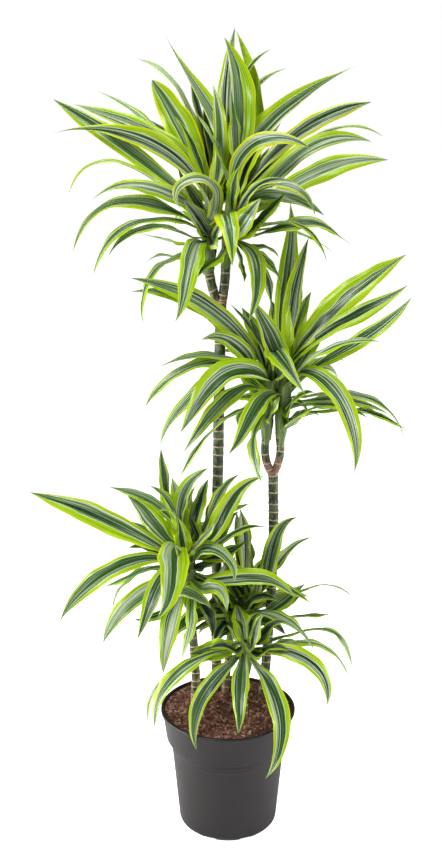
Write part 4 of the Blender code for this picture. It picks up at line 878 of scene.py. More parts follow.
def v_section(run, rng):
    """The folded section at each row: the two halves rise from the rib by the fold, bow up a little
    between rib and edge, and their edges wave; the rib is rounded and the whole twists slowly to and fro."""
    centres, tangents, faces_up, width, outline, phase = run
    shares = np.linspace(0.0, 1.0, len(centres))[:, None]
    over = ACROSS[None, :]
    half = half_widths(shares, over, width, outline, phase)
    fold = BLADE_FOLD * 0.9 + (ROOT_FOLD - BLADE_FOLD) * np.exp(-shares / FOLD_FADE)
    lift = np.sqrt(over ** 2 + RIB_ROUND ** 2) - RIB_ROUND
    bow = 0.12 * np.sin(math.pi * np.abs(over)) - 0.10 * np.abs(over) ** 3
    height = half * (lift * np.sin(fold) + bow) + edge_waves(shares, over, width, phase, rng)
    sideways = half * over * np.cos(fold)

    twist = TWIST * np.sin(math.pi * shares) * np.sin(5.0 * shares + 3.0 * phase)
    level = np.cross(tangents, faces_up)
    across = level * np.cos(twist) + faces_up * np.sin(twist)
    upward = faces_up * np.cos(twist) - level * np.sin(twist)
    top = centres[:, None] + across[:, None] * sideways[..., None] + upward[:, None] * height[..., None]
    return top, upward


def half_widths(shares, over, width, outline, phase):
    """Half the width at each point: the outline, a little uneven along each edge, and nothing at the tip."""
    turn = np.where(over < 0, 0.0, 2.0)
    half = np.maximum(width / 2 * blade_width(shares, *outline), LEAST_BASE * (1 - shares / 0.35))
    half = half * (1 + 0.045 * np.sin(17.0 * shares + phase + turn) + 0.03 * np.sin(31.0 * shares + 3 * turn))
    return np.where(shares > 0.999, 0.0, half)


def edge_waves(shares, over, width, phase, rng):
    """How far the edges rise and fall: the slow waves that the solid has, and a quicker ripple on them."""
    swell = EDGE_WAVE * (0.6 + width / USUAL_WIDTH) * np.sin(math.pi * shares) * np.abs(over) ** 1.6
    left = np.sin(LEFT_WAVES * shares + phase)
    right = np.sin(RIGHT_WAVES * shares + RIGHT_PHASE * phase)
    ripple = 0.35 * np.sin((29 + 6 * rng.random()) * shares + np.where(over < 0, 1.3, 4.1) * phase)
    return swell * (np.where(over < 0, left, right) + ripple)


def clasping_section(axis, stem, outward, radius, wrap):
    """The section that clasps the shoot: an arc of the given radius round its axis, open to the inside.
    Also the way that the leaf's upper face looks, which is inward."""
    side = np.cross(outward, stem)
    angle = (wrap[:, None] * ACROSS[None, :])[..., None]
    radial = outward[:, None] * np.cos(angle) + side[:, None] * np.sin(angle)
    return axis[:, None] + radial * radius[:, None, None], -radial


def sheath_section(blade, outward, index):
    """The clasping rows below the root: arcs round the shoot that open upward. They may run down past the
    shoot's own foot, over the arm that carries it."""
    _, _, stem_length = smooth_line(blade.shoot.line, (0.0,))
    low = max(blade.root - SHEATH_LENGTH / stem_length, -SHEATH_BELOW / stem_length)
    rise = np.linspace(0.0, 1.0, SHEATH_ROWS + 1)[:-1]
    shares = low + (blade.root - low) * rise
    axis, stem, _ = smooth_line(blade.shoot.line, np.maximum(shares, 0.0))
    axis = axis + stem * (np.minimum(shares, 0.0) * stem_length)[:, None]
    outward = square_to(np.broadcast_to(outward, axis.shape), stem)
    skin = SHEATH_SKIN * (1 + index % 3)
    radius = shoot_radius(blade.shoot, shares) + skin + SHEATH_FLARE * rise ** 1.5
    wrap = SHEATH_WRAP + (SHEATH_OPEN - SHEATH_WRAP) * rise
    top, inward = clasping_section(axis, stem, outward, radius, wrap)
    return top, inward, (rise - 1) * SHEATH_LENGTH, float(radius[-1])


def blade_skin(blade, index):
    """A whole leaf: a sheath that clasps the shoot, then the blade, as a closed skin of leaf thickness."""
    rng = np.random.default_rng(LEAF_SEED + index)
    run = blade.run(blade.rows)
    centres = run[0]
    walked = np.linspace(0.0, np.linalg.norm(np.diff(centres, axis=0), axis=1).sum(), blade.rows)
    top, upward = v_section(run, rng)
    upward = np.broadcast_to(upward[:, None], top.shape)
    outward = centres[max(2, blade.rows // 7)] - centres[0]
    sheath, inward, below, radius = sheath_section(blade, outward, index)

    stem = np.broadcast_to(shoot_line(blade.shoot, blade.root)[1], centres.shape)
    free = eased(walked / (CLASP_REACH * radius))
    axis = centres[0] + stem * (CLASP_CLIMB * walked[:, None])
    clasp_out = square_to(np.broadcast_to(outward, centres.shape), stem)
    wrap = SHEATH_OPEN * (1 - CLASP_NARROWING * free)
    clasp, clasp_in = clasping_section(axis, stem, clasp_out, np.full(blade.rows, radius), wrap)
    loose = free[:, None, None]
    top = clasp * (1 - loose) + top * loose
    upward = unit(clasp_in * (1 - loose) + upward * loose)

    top = np.concatenate((sheath, top))
    upward = np.concatenate((inward, upward))
    along = np.concatenate((below, walked))
    share = np.concatenate((np.zeros(SHEATH_ROWS), np.linspace(0.0, 1.0, blade.rows)))
    return leaf_skin(top, upward, along, share, blade, rng)


def leaf_skin(top, upward, along, share, blade, rng):
    """Give the upper face its underside and close it: a thickness that swells from the edges to the rib
    and fades at the tip, where the last row is one point."""
    keel = KEEL * np.exp(-(ACROSS / KEEL_WIDTH) ** 2)
    thin = LEAF_THICKNESS * np.sqrt(np.maximum(1 - ACROSS ** 2, 0.0)) + keel
    thick = thin[None, :] * (1 - TIP_THINNING * share[:, None])
    under = top - upward * thick[..., None]
    rings = np.concatenate((top, under[:, -2:0:-1]), axis=1)[:-1]
    points, quads, triangles = closed_tube(rings)
    points[-1] = top[-1].mean(axis=0)
    shape = rings.shape[:2]
    over = np.concatenate((ACROSS, ACROSS[-2:0:-1]))
    side = np.concatenate((np.zeros(len(ACROSS)), np.ones(len(ACROSS) - 2)))
    left, right, grey, yellow = blade.stripes or (
        0.30 + 0.25 * rng.random(), 0.30 + 0.25 * rng.random(), 0.2 + 0.6 * rng.random(), 0.1)
    values = {
        "leaf_place": grid_values(shape, over, along[:-1, None], share[:-1, None]),
        "leaf_kind": np.broadcast_to((left, right, grey), (len(points), 3)),
        "leaf_tone": grid_values(shape, rng.random(), yellow, side),
    }
    return Skin(points, quads, triangles, values)


def shoot_skin(shoot):
    """The shoot that the leaves clasp, as a round tube along its middle line."""
    shares = np.linspace(0.0, 1.0, SHOOT_ROWS)
    centres, tangents, length = smooth_line(shoot.line, shares)
    rings = round_rings(centres, tangents, shoot_radius(shoot, shares)[:, None], SHOOT_SIDES)
    points, quads, triangles = closed_tube(rings)
    over = 0.9 * np.sin(np.arange(SHOOT_SIDES) * math.tau / SHOOT_SIDES * 2)
    values = {
        "leaf_place": grid_values(rings.shape[:2], over, (shares * length)[:, None], 0.0),
        # Painted shade: a grey under 0 darkens the shoot with the heart tint, as if in the shade of its
        # leaves.
        "leaf_kind": np.broadcast_to((0.3, 0.3, -0.6), (len(points), 3)),
        "leaf_tone": np.broadcast_to((0.5, 0.0, 0.1), (len(points), 3)),
    }
    return Skin(points, quads, triangles, values)


def cross_ways(tangents):
    """Two ways that are square to each tangent and to each other."""
    across = square_to(np.broadcast_to((1.0, 0.0, 0.0), tangents.shape), tangents)
    return across, np.cross(tangents, across)


def round_rings(centres, tangents, radii, sides):
    """Rings of points square to a middle line."""
    across, over = cross_ways(tangents)
    angles = np.arange(sides) * math.tau / sides
    ahead, aside = np.cos(angles)[None, :, None], np.sin(angles)[None, :, None]
    round_way = across[:, None] * ahead + over[:, None] * aside
    return centres[:, None] + round_way * np.broadcast_to(radii, (len(centres), sides))[..., None]


def scar_rows(length, rng):
    """Heights of rows along a cane: five close ones over each leaf scar, and plain ones between. Also how
    much scar each row has, its tilt in metres, and which way that tilt rises."""
    count = max(2, round(length / SCAR_SPACING))
    scars = (np.arange(count) + 0.5 + SCAR_JITTER * (rng.random(count) - 0.5)) * length / count
    offsets = np.array((-1.6, -0.8, 0.0, 0.8, 1.6)) * SCAR_HALF
    weights = np.array((0.0, 0.85, 1.0, 0.85, 0.0))
    tilts = SCAR_TILT * rng.random(count)
    ways = math.tau * rng.random(count)
    plain = np.arange(0.002, length - 0.001, BARK_STEP)
    plain = plain[np.abs(plain[:, None] - scars[None, :]).min(axis=1) > SCAR_CLEAR]
    heights = np.concatenate(((0.0,), plain, (scars[:, None] + offsets[None, :]).ravel(), (length,)))
    order = np.argsort(heights)
    over_scars = (np.tile(weights, count), np.repeat(tilts, len(weights)), np.repeat(ways, len(weights)))
    blank = np.zeros(len(plain))
    scar, tilt, way = (np.concatenate(((0.0,), blank, part, (0.0,)))[order] for part in over_scars)
    return heights[order], scar, tilt, way


def bark_radii(radius, heights, angles, scar):
    """The bark's radius at each point: a low ridge on each scar, a slow swell between, and uneven skin."""
    up = heights[:, None]
    uneven = 0.018 * np.sin(3 * angles + 40 * up) + 0.014 * np.sin(5 * angles - 90 * up)
    swell = 0.025 * np.cos(math.tau * heights / SCAR_SPACING)[:, None]
    return radius * (1 + uneven + swell) + RING_HEIGHT * scar[:, None]


def bark_rings(line, share, angles, radii):
    """Rings of points about a cane's middle line, where each point has a share of the line of its own."""
    fine = np.linspace(0.0, 1.0, BARK_SAMPLES)
    centres, tangents, _ = smooth_line(line, fine)
    middle, one, two = (
        np.stack([np.interp(share, fine, column) for column in rows.T], axis=-1)
        for rows in (centres, *cross_ways(tangents)))
    around = one * np.cos(angles)[None, :, None] + two * np.sin(angles)[None, :, None]
    return middle + around * radii[..., None]


def cane_skin(line, radius, rng, brown, wax=0.0, foot=None):
    """Ringed bark: a round tube whose radius has a low ridge at each tilted scar and uneven bark between.
    A foot goes straight down into the soil; wax seals the top."""
    angles = np.arange(CANE_SIDES) * math.tau / CANE_SIDES
    _, _, length = smooth_line(line, (0.0,))
    heights, scar, tilt, way = scar_rows(length, rng)
    leaning = heights[:, None] + tilt[:, None] * np.cos(angles[None, :] - way[:, None])
    radii = bark_radii(radius, heights, angles, scar)
    rings = bark_rings(line, np.clip(leaning / length, 0.0, 1.0), angles, radii)
    age = brown(heights / length)
    if foot is not None:
        below = rings[:1].copy()
        below[..., 2] = foot
        rings = np.concatenate((below, rings))
        heights = np.concatenate(((foot - STRAIGHT_FOOT,), heights))
        scar = np.concatenate(((0.0,), scar))
        age = np.concatenate((age[:1], age))
    points, quads, triangles = closed_tube(rings)
    if wax:
        points[-1] += UP * radius * 0.25
    sealed = np.where(heights > heights[-1] - WAX_DEPTH, wax, 0.0)
    shape = rings.shape[:2]
    values = {
        "bark_place": grid_values(shape, np.cos(angles), np.sin(angles), heights[:, None]),
        "bark_kind": grid_values(shape, scar[:, None], age[:, None], sealed[:, None]),
        "bark_seed": np.full(len(points), rng.random()),
    }
    return Skin(points, quads, triangles, values)


def cane_skins(name, seed):
    """A cane's trunk and the arms of its fork, brown at the foot and where it was once cut and forked."""
    cane = CANES[name]
    rng = np.random.default_rng(seed)
    cork = FORK_CORK.get(name, 0.0)
    wax = 1.0 if name == "cut_cane" else 0.0

    def trunk_brown(shares):
        """Brown from the foot up, and below a fork."""
        if not cane.arms:
            return 0.45 * np.exp(-shares / 0.25)
        return 0.30 * np.exp(-shares / 0.08) + cork * np.exp((shares - 1) / 0.02)

    def arm_brown(shares):
        """Brown that fades up an arm."""
        return cork * np.exp(-shares / 0.35)

    trunk = cane_skin(cane.line, cane.radius, rng, trunk_brown, wax, cane.foot)
    return joined([trunk] + [cane_skin(arm, cane.arm_radius, rng, arm_brown) for arm in cane.arms])


def turned_skin(profile, sides, shift=None):
    """A solid of revolution from (radius, height) rows between its two end heights on the axis."""
    rows = np.array(profile[1:-1])
    angles = np.arange(sides) * math.tau / sides
    radii = np.broadcast_to(rows[:, :1], (len(rows), sides))
    heights = np.broadcast_to(rows[:, 1:], (len(rows), sides))
    if shift is not None:
        heights = shift(radii, heights, angles[None, :])
    rings = np.stack((radii * np.cos(angles), radii * np.sin(angles), heights), axis=-1)
    points, quads, triangles = closed_tube(rings)
    points[-2] = (0.0, 0.0, profile[0][1])
    points[-1] = (0.0, 0.0, profile[-1][1])
    return Skin(points, quads, triangles, {})


def arc(middle, radius, start, end, count):
    """Points on an arc of a circle in the profile's plane; angles in degrees."""
    angles = np.radians(np.linspace(start, end, count))
    return [(middle[0] + radius * math.cos(angle), middle[1] + radius * math.sin(angle)) for angle in angles]


def pot_profile():
    """The pot's section, from the middle of its underside out, up, over the lip and down the inside."""
    flange = POT_HEIGHT - LIP_DEPTH
    slope = (BODY_TOP_RADIUS - BODY_FOOT_RADIUS) / (BODY_TOP - BODY_FOOT)
    foot = BASE_RADIUS - FOOT_ROUND
    inner = COLLAR_TOP_RADIUS - POT_WALL
    rows = [(0.0, 0.0), (0.045, 0.0), (0.080, 0.0), (foot, 0.0)]
    rows += arc((foot, FOOT_ROUND), FOOT_ROUND, -70, -20, 4)
    rows += arc((BODY_FOOT_RADIUS - SHOULDER_ROUND, BODY_FOOT), SHOULDER_ROUND, -42, -4, 6)
    rows += [
        (BODY_FOOT_RADIUS + slope * (height - BODY_FOOT), height)
        for height in np.linspace(0.016, 0.160, 12)]
    for height in reversed(BAND_HEIGHTS):
        middle = BODY_FOOT_RADIUS + slope * (height - BODY_FOOT)
        rows += [(middle - slope * 0.0018, height - 0.0018), (middle + BAND_DEPTH, height - 0.0005)]
        rows += [(middle + BAND_DEPTH, height + 0.0005), (middle + slope * 0.0018, height + 0.0018)]
    rows += [(BODY_TOP_RADIUS - 0.0003, BODY_TOP - 0.0015), (BODY_TOP_RADIUS + 0.0006, BODY_TOP + 0.0006)]
    rows += [(COLLAR_FOOT_RADIUS - 0.0014, COLLAR_FOOT - 0.0012), (COLLAR_FOOT_RADIUS - 0.0002, COLLAR_FOOT)]
    rows += [(COLLAR_FOOT_RADIUS + 0.0004, COLLAR_FOOT + 0.003)]
    rows += [(COLLAR_TOP_RADIUS - 0.0006, flange - 0.004), (COLLAR_TOP_RADIUS, flange - 0.0012)]
    rows += [(COLLAR_TOP_RADIUS + 0.001, flange), (LIP_RADIUS - 0.0016, flange)]
    rows += arc((LIP_RADIUS - LIP_UNDER_ROUND, flange + LIP_UNDER_ROUND), LIP_UNDER_ROUND, -60, 0, 4)
    rows += arc((LIP_RADIUS - LIP_ROUND, POT_HEIGHT - LIP_ROUND), LIP_ROUND, 0, 90, 6)
    rows += arc((inner + INNER_ROUND, POT_HEIGHT - INNER_ROUND), INNER_ROUND, 90, 180, 5)
    rows += [(COLLAR_FOOT_RADIUS - POT_WALL, COLLAR_FOOT + POT_WALL)]
    rows += [(BODY_TOP_RADIUS - POT_WALL, BODY_TOP + POT_WALL)]
    rows += [(BODY_FOOT_RADIUS - POT_WALL, 0.016), (BASE_RADIUS - POT_WALL, POT_WALL), (0.0, POT_WALL)]
    return rows


def slot_lift(radii, heights, angles):
    """Raise the rim of the underside where the drainage slots are, walls and floor alike."""
    turn = (angles * SLOT_COUNT / math.tau) % 1.0 - 0.5
    off_middle = np.abs(turn) * math.tau / SLOT_COUNT * BASE_RADIUS
    window = 1 - eased((off_middle - SLOT_WIDTH / 2 + 0.0015) / 0.002)
    rim = radii > BASE_RADIUS - 0.0030
    low = heights < SLOT_HEIGHT + POT_WALL
    inner = (heights > 0.0019) & (radii < BASE_RADIUS - POT_WALL + 0.0001)
    floor = np.where(inner, SLOT_HEIGHT + POT_WALL, SLOT_HEIGHT)
    return np.where(rim & low, np.maximum(heights, floor * window), heights)


def peat_height(x, y):
    """The soil's top: a heap with lumps as a sum of waves that fade to nothing at the wall."""
    edge = COLLAR_TOP_RADIUS - POT_WALL
    share = np.clip(np.hypot(x, y) / edge, 0.0, 1.0)
    angle = np.arctan2(y, x)
    lumps = sum(np.sin(around * angle + outward * share) for around, outward in ((5, 23), (3, -31), (9, 11)))
    clods = sum(
        np.sin(freq * x + 1.3 * turn * y + turn) * np.sin(freq * y - 0.7 * turn * x + 2 * turn)
        for turn, freq in enumerate((260.0, 390.0, 610.0, 940.0), 1))
    return (SOIL_EDGE + SOIL_HEAP * (1 - share ** 2)
            + (SOIL_LUMP * lumps / 3 + SOIL_CLOD * clods) * (1 - share ** 6))


def peat_skin():
    """The fill: down the pot's inside with a clearance, and a lumpy top on a fine round grid."""
    edge = COLLAR_TOP_RADIUS - POT_WALL - 3 * GAP - 0.0004
    low = COLLAR_FOOT_RADIUS - POT_WALL - GAP
    profile = [(0.0, SOIL_FLOOR), (0.080, SOIL_FLOOR), (0.0925, 0.016)]
    profile += [(BODY_TOP_RADIUS - POT_WALL - GAP, BODY_TOP)]
    profile += [(low - 0.001, COLLAR_FOOT + POT_WALL + 0.001)]
    profile += [(radius, SOIL_EDGE) for radius in np.linspace(edge, SOIL_MIDDLE, SOIL_RINGS)]
    profile += [(0.0, SOIL_EDGE)]

    def heap(radii, heights, angles):
        """Put the rows of the top on the heap."""
        top = heights > SOIL_EDGE - 0.0001
        return np.where(top, peat_height(radii * np.cos(angles), radii * np.sin(angles)), heights)

    skin = turned_skin(profile, SOIL_SIDES, heap)
    skin.points[-1, 2] = peat_height(SOIL_MIDDLE, 0.0)
    count = len(skin.points)
    return skin._replace(values={"peat_tone": np.full(count, 0.35), "peat_fibre": np.zeros(count)})


def crumb_sizes(chunk, fibre, size, wide):
    """Length, width and height of each crumb by its kind; what is neither chunk nor fibre is a flake."""
    length = np.select((chunk, fibre), (0.004 + 0.005 * size, 0.005 + 0.011 * size), 0.005 + 0.007 * size)
    width = np.select((chunk, fibre), (0.003 + 0.003 * wide, 0.0006 + 0.0007 * wide), 0.0018 + 0.0020 * wide)
    height = np.select((chunk, fibre), (0.0022 + 0.0020 * wide, 0.0006), 0.0009)
    return length, width, height


def crumb_corners(length, width, height, rng):
    """The 12 corners of each crumb about its own middle: three squares in a row, bent and tapered."""
    count = len(length)
    around = ((-1, -1), (1, -1), (1, 1), (-1, 1))
    corners = np.array([(end, *side) for end, side in product((-1, 0, 1), around)], float)
    bend = 0.22 * (rng.random(count) - 0.5)[:, None] * (1 - corners[:, 0] ** 2)[None, :]
    taper = 1 - (0.30 + 0.4 * rng.random(count))[:, None] * corners[:, 0][None, :] ** 2
    return np.stack((
        corners[None, :, 0] * length[:, None] / 2,
        corners[None, :, 1] * width[:, None] / 2 * taper + bend * length[:, None],
        corners[None, :, 2] * height[:, None] / 2 * taper), axis=-1)


def strewn(middle, local, rng):
    """The crumbs' corners in their places, turned any way round and pitched a little."""
    count = len(middle)
    heading, pitch = math.tau * rng.random(count), 0.7 * (rng.random(count) - 0.5)
    level = np.cos(pitch)
    ahead = np.stack((np.cos(heading) * level, np.sin(heading) * level, np.sin(pitch)), axis=-1)
    beside = np.stack((-np.sin(heading), np.cos(heading), np.zeros(count)), axis=-1)
    above = np.cross(ahead, beside)
    return (middle[:, None] + local[..., :1] * ahead[:, None] + local[..., 1:2] * beside[:, None]
            + local[..., 2:] * above[:, None]).reshape(-1, 3)


def crumb_skin(rng):
    """Loose bits on the soil: small twisted boxes. Three in ten are chunks of peat, about half are thin coir
    fibres, and the rest are flat flakes of bark."""
    count = CRUMB_COUNT
    radius = (COLLAR_TOP_RADIUS - POT_WALL - 0.005) * np.sqrt(rng.random(count))
    angle = math.tau * rng.random(count)
    x, y = radius * np.cos(angle), radius * np.sin(angle)
    draw = rng.random(count)
    chunk, fibre = draw < CHUNKS_BELOW, draw > FIBRES_ABOVE
    length, width, height = crumb_sizes(chunk, fibre, rng.random(count), rng.random(count))
    local = crumb_corners(length, width, height, rng)
    middle = np.stack((x, y, peat_height(x, y) + height * 0.30), axis=-1)
    points = strewn(middle, local, rng)
    round_square = ((0, 1), (1, 2), (2, 3), (3, 0))
    sides = [(a + low, b + low, b + low + 4, a + low + 4) for low, (a, b) in product((0, 4), round_square)]
    faces = np.array(sides + [(3, 2, 1, 0), (8, 9, 10, 11)])
    quads = (faces[None] + 12 * np.arange(count)[:, None, None]).reshape(-1, 4)
    values = {
        "peat_tone": np.repeat(rng.random(count), 12),
        "peat_fibre": np.repeat(np.select((chunk, fibre), (0.1, 1.0), 0.6), 12),
    }
    return Skin(points, quads, np.zeros((0, 3), int), values)


def linear(hex_colour):
    """An sRGB hex colour as linear red, green and blue, and full alpha."""
    parts = [int(hex_colour[at:at + 2], 16) / 255 for at in (1, 3, 5)]
    return (*(part / 12.92 if part <= 0.04045 else ((part + 0.055) / 1.055) ** 2.4 for part in parts), 1.0)


def add(tree, kind, inputs=None, stops=(), **settings):
    """Add a node: its own settings, its inputs' values or links by name or number, and a ramp's stops."""
    node = tree.nodes.new("ShaderNode" + kind)
    for name, value in settings.items():
        setattr(node, name, value)
    for name, value in (inputs or {}).items():
        if isinstance(value, bpy.types.NodeSocket):
            tree.links.new(value, node.inputs[name])
        else:
            node.inputs[name].default_value = value
    for number, (place, colour) in enumerate(stops):
        ramp = node.color_ramp.elements
        stop = ramp[number] if number < 2 else ramp.new(place)
        stop.position = place
        stop.color = colour
    return node


def new_material(name):
    """An empty node material and its Principled shader."""
    look = bpy.data.materials.new(name)
    look.use_nodes = True
    return look, look.node_tree, look.node_tree.nodes["Principled BSDF"]


class LeafPoint(NamedTuple):
    """Sockets of what a point of a leaf carries: its places over and along the blade, the second as a
    share and drawn out for the streaks too; the shares of lime at left and right; how grey, how yellow and
    how far on the underside it is; and a number that differs from leaf to leaf."""
    over: bpy.types.NodeSocket
    along: bpy.types.NodeSocket
    share: bpy.types.NodeSocket
    long: bpy.types.NodeSocket
    left: bpy.types.NodeSocket
    right: bpy.types.NodeSocket
    grey: bpy.types.NodeSocket
    yellow: bpy.types.NodeSocket
    under: bpy.types.NodeSocket
    many: bpy.types.NodeSocket


def leaf_point(tree):
    """Read what the points of a leaf carry."""
    place, kind, tone = (
        add(tree, "Attribute", attribute_name=name).outputs["Vector"]
        for name in ("leaf_place", "leaf_kind", "leaf_tone"))
    over, along, share = add(tree, "SeparateXYZ", {0: place}).outputs
    left, right, grey = add(tree, "SeparateXYZ", {0: kind}).outputs
    seed, yellow, under = add(tree, "SeparateXYZ", {0: tone}).outputs
    long = add(tree, "Math", {0: along, 1: 3.0}, operation="MULTIPLY").outputs[0]
    many = add(tree, "Math", {0: seed, 1: 91.0}, operation="MULTIPLY").outputs[0]
    return LeafPoint(over, along, share, long, left, right, grey, yellow, under, many)


def streaks(tree, leaf, fineness):
    """Noise drawn out along the leaf, as its veins run: so many streaks to the half width, another set for
    each leaf. They draw together at the tip."""
    across = add(tree, "Math", {0: leaf.over, 1: fineness}, operation="MULTIPLY").outputs[0]
    at = add(tree, "CombineXYZ", {0: across, 1: leaf.long, 2: leaf.many}).outputs[0]
    return add(tree, "TexNoise", {"Vector": at, "Scale": 1.0, "Detail": 1.0}).outputs["Fac"]


def band_depths(tree, leaf):
    """Distances in shares of the half width: in from the blade's edge, and in from the edge of the middle
    band, which drifts slowly along the blade. The second is under 0 on the margin."""
    outer = add(tree, "Math", {0: leaf.over}, operation="ABSOLUTE").outputs[0]
    edge = add(tree, "Math", {0: 1.0, 1: outer}, operation="SUBTRACT").outputs[0]
    on_right = add(tree, "Math", {0: leaf.over, 1: 0.0}, operation="GREATER_THAN").outputs[0]
    margin = add(tree, "Mix", {0: on_right, 2: leaf.left, 3: leaf.right}).outputs[0]
    slow = add(tree, "Math", {0: leaf.along, 1: 16.0}, operation="MULTIPLY").outputs[0]
    drift_at = add(tree, "CombineXYZ", {0: slow, 1: on_right, 2: leaf.many}).outputs[0]
    drift = add(tree, "TexNoise", {"Vector": drift_at, "Scale": 1.0, "Detail": 1.0}).outputs["Fac"]
    drifted = add(tree, "MapRange", {0: drift, 1: 0.3, 2: 0.7, 3: 1.05, 4: 1.45}).outputs[0]
    margin = add(tree, "Math", {0: margin, 1: drifted}, operation="MULTIPLY").outputs[0]
    return edge, add(tree, "Math", {0: edge, 1: margin}, operation="SUBTRACT").outputs[0]


def middle_colour(tree, settings, leaf, middling, narrow):
    """The middle band: broad soft streaks from dark green to grey green, greyer on some leaves, then dark
    furrows and pale streaks along the veins, and a duller green near the root. The grey green and pale
    streaks are partly a painted reflection of the white surround, and the duller root is partly painted
    shade."""
    mixed = add(tree, "Mix", {0: 0.5, 2: streaks(tree, leaf, 3.6), 3: middling}).outputs[0]
    greyer = add(tree, "MapRange", {0: leaf.grey, 1: 0.0, 2: 1.0, 3: -0.17, 4: 0.13}).outputs[0]
    toned = add(tree, "Math", {0: mixed, 1: greyer}, operation="ADD").outputs[0]
    # The sage, grey and streak colours are the leaf's grey green stripes and partly a painted reflection of
    # the white surround.
    middle = add(tree, "ValToRGB", {0: toned}, stops=(
        (0.33, linear(settings.dark)), (0.74, linear(settings.grey)),
        (0.47, linear(settings.green)), (0.61, linear(settings.sage)))).outputs["Color"]
    furrow = add(tree, "MapRange", {0: narrow, 1: 0.47, 2: 0.40, 3: 0.0, 4: 0.60}).outputs[0]
    veins = add(tree, "Mix", {0: 0.5, 2: streaks(tree, leaf, 7.0), 3: narrow}).outputs[0]
    lined = add(tree, "MapRange", {0: veins, 1: 0.54, 2: 0.59, 3: 0.0, 4: 0.66}).outputs[0]
    # Partly painted shade: towards the root the band turns to the dark base colour, the base's own duller
    # green and also shade inside the head.
    duller = add(tree, "MapRange", {0: leaf.share, 1: 0.12, 2: 0.0, 3: 0.0, 4: 0.7}).outputs[0]
    for share, tint in ((furrow, settings.dark), (lined, settings.streak), (duller, settings.base)):
        middle = add(tree, "Mix", {0: share, 6: middle, 7: linear(tint)}, data_type="RGBA").outputs[2]
    return middle


def margin_colour(tree, settings, leaf, edge, middling, narrow):
    """The lime margins: streaked deeper and paler, and yellow to golden at the very edge."""
    line = add(tree, "Mix", {0: 0.35, 2: middling, 3: narrow}).outputs[0]
    lime = add(tree, "ValToRGB", {0: line}, stops=(
        (0.34, linear(settings.lime_deep)), (0.62, linear(settings.lime_pale)),
        (0.48, linear(settings.lime)))).outputs["Color"]
    reach = add(tree, "Math", {0: leaf.yellow, 1: 0.22, 2: 0.08}, operation="MULTIPLY_ADD").outputs[0]
    rim = add(tree, "MapRange", {0: edge, 1: reach, 2: 0.0, 3: 0.0, 4: 0.85}).outputs[0]
    rim_colour = add(
        tree, "Mix", {0: leaf.yellow, 6: linear(settings.yellow), 7: linear(settings.gold)},
        data_type="RGBA").outputs[2]
    return add(tree, "Mix", {0: rim, 6: lime, 7: rim_colour}, data_type="RGBA").outputs[2]


def banded_colour(tree, settings, inside, margin, middle):
    """Margin, then a thin white line, then the middle band."""
    half_line = settings.line / 2
    to_line, to_middle = (
        add(tree, "MapRange", {0: inside, 1: start, 2: end, 3: 0.0, 4: 1.0},
            interpolation_type="SMOOTHSTEP").outputs[0]
        for start, end in ((-2 * half_line, -half_line), (half_line, 2 * half_line)))
    banded = add(
        tree, "Mix", {0: to_line, 6: margin, 7: linear(settings.white)}, data_type="RGBA").outputs[2]
    return add(tree, "Mix", {0: to_middle, 6: banded, 7: middle}, data_type="RGBA").outputs[2]


def weathered_and_shaded_colour(tree, settings, leaf, colour):
    """The clasping base is duller, partly its own colour and partly painted shade; the last millimetres of
    the tip are dry, and the underside is paler. Painted shade: a blade is multiplied by the heart tint near
    its root, and all along where its grey is under 0, as if deep in the shade of a head."""
    duller = add(tree, "MapRange", {0: leaf.share, 1: 0.06, 2: 0.0, 3: 0.0, 4: 0.2}).outputs[0]
    dry = add(tree, "MapRange", {0: leaf.share, 1: 0.97, 2: 1.0, 3: 0.0, 4: 0.8}).outputs[0]
    paler = add(tree, "Math", {0: leaf.under, 1: 0.45}, operation="MULTIPLY").outputs[0]
    for share, tint in ((duller, settings.base), (dry, settings.dry), (paler, settings.under)):
        colour = add(tree, "Mix", {0: share, 6: colour, 7: linear(tint)}, data_type="RGBA").outputs[2]
    # Painted shade: a grey under 0, and the lowest fifth of every blade, darken the leaf with the heart tint.
    deep = add(tree, "MapRange", {0: leaf.grey, 1: 0.0, 2: -1.0, 3: 0.0, 4: 0.8}).outputs[0]
    inner = add(tree, "MapRange", {0: leaf.share, 1: 0.22, 2: 0.0, 3: 0.0, 4: 0.40}).outputs[0]
    deep = add(tree, "Math", {0: deep, 1: inner}, operation="MAXIMUM").outputs[0]
    return add(
        tree, "Mix", {0: deep, 6: colour, 7: linear(settings.heart_shade)},
        data_type="RGBA", blend_type="MULTIPLY").outputs[2]


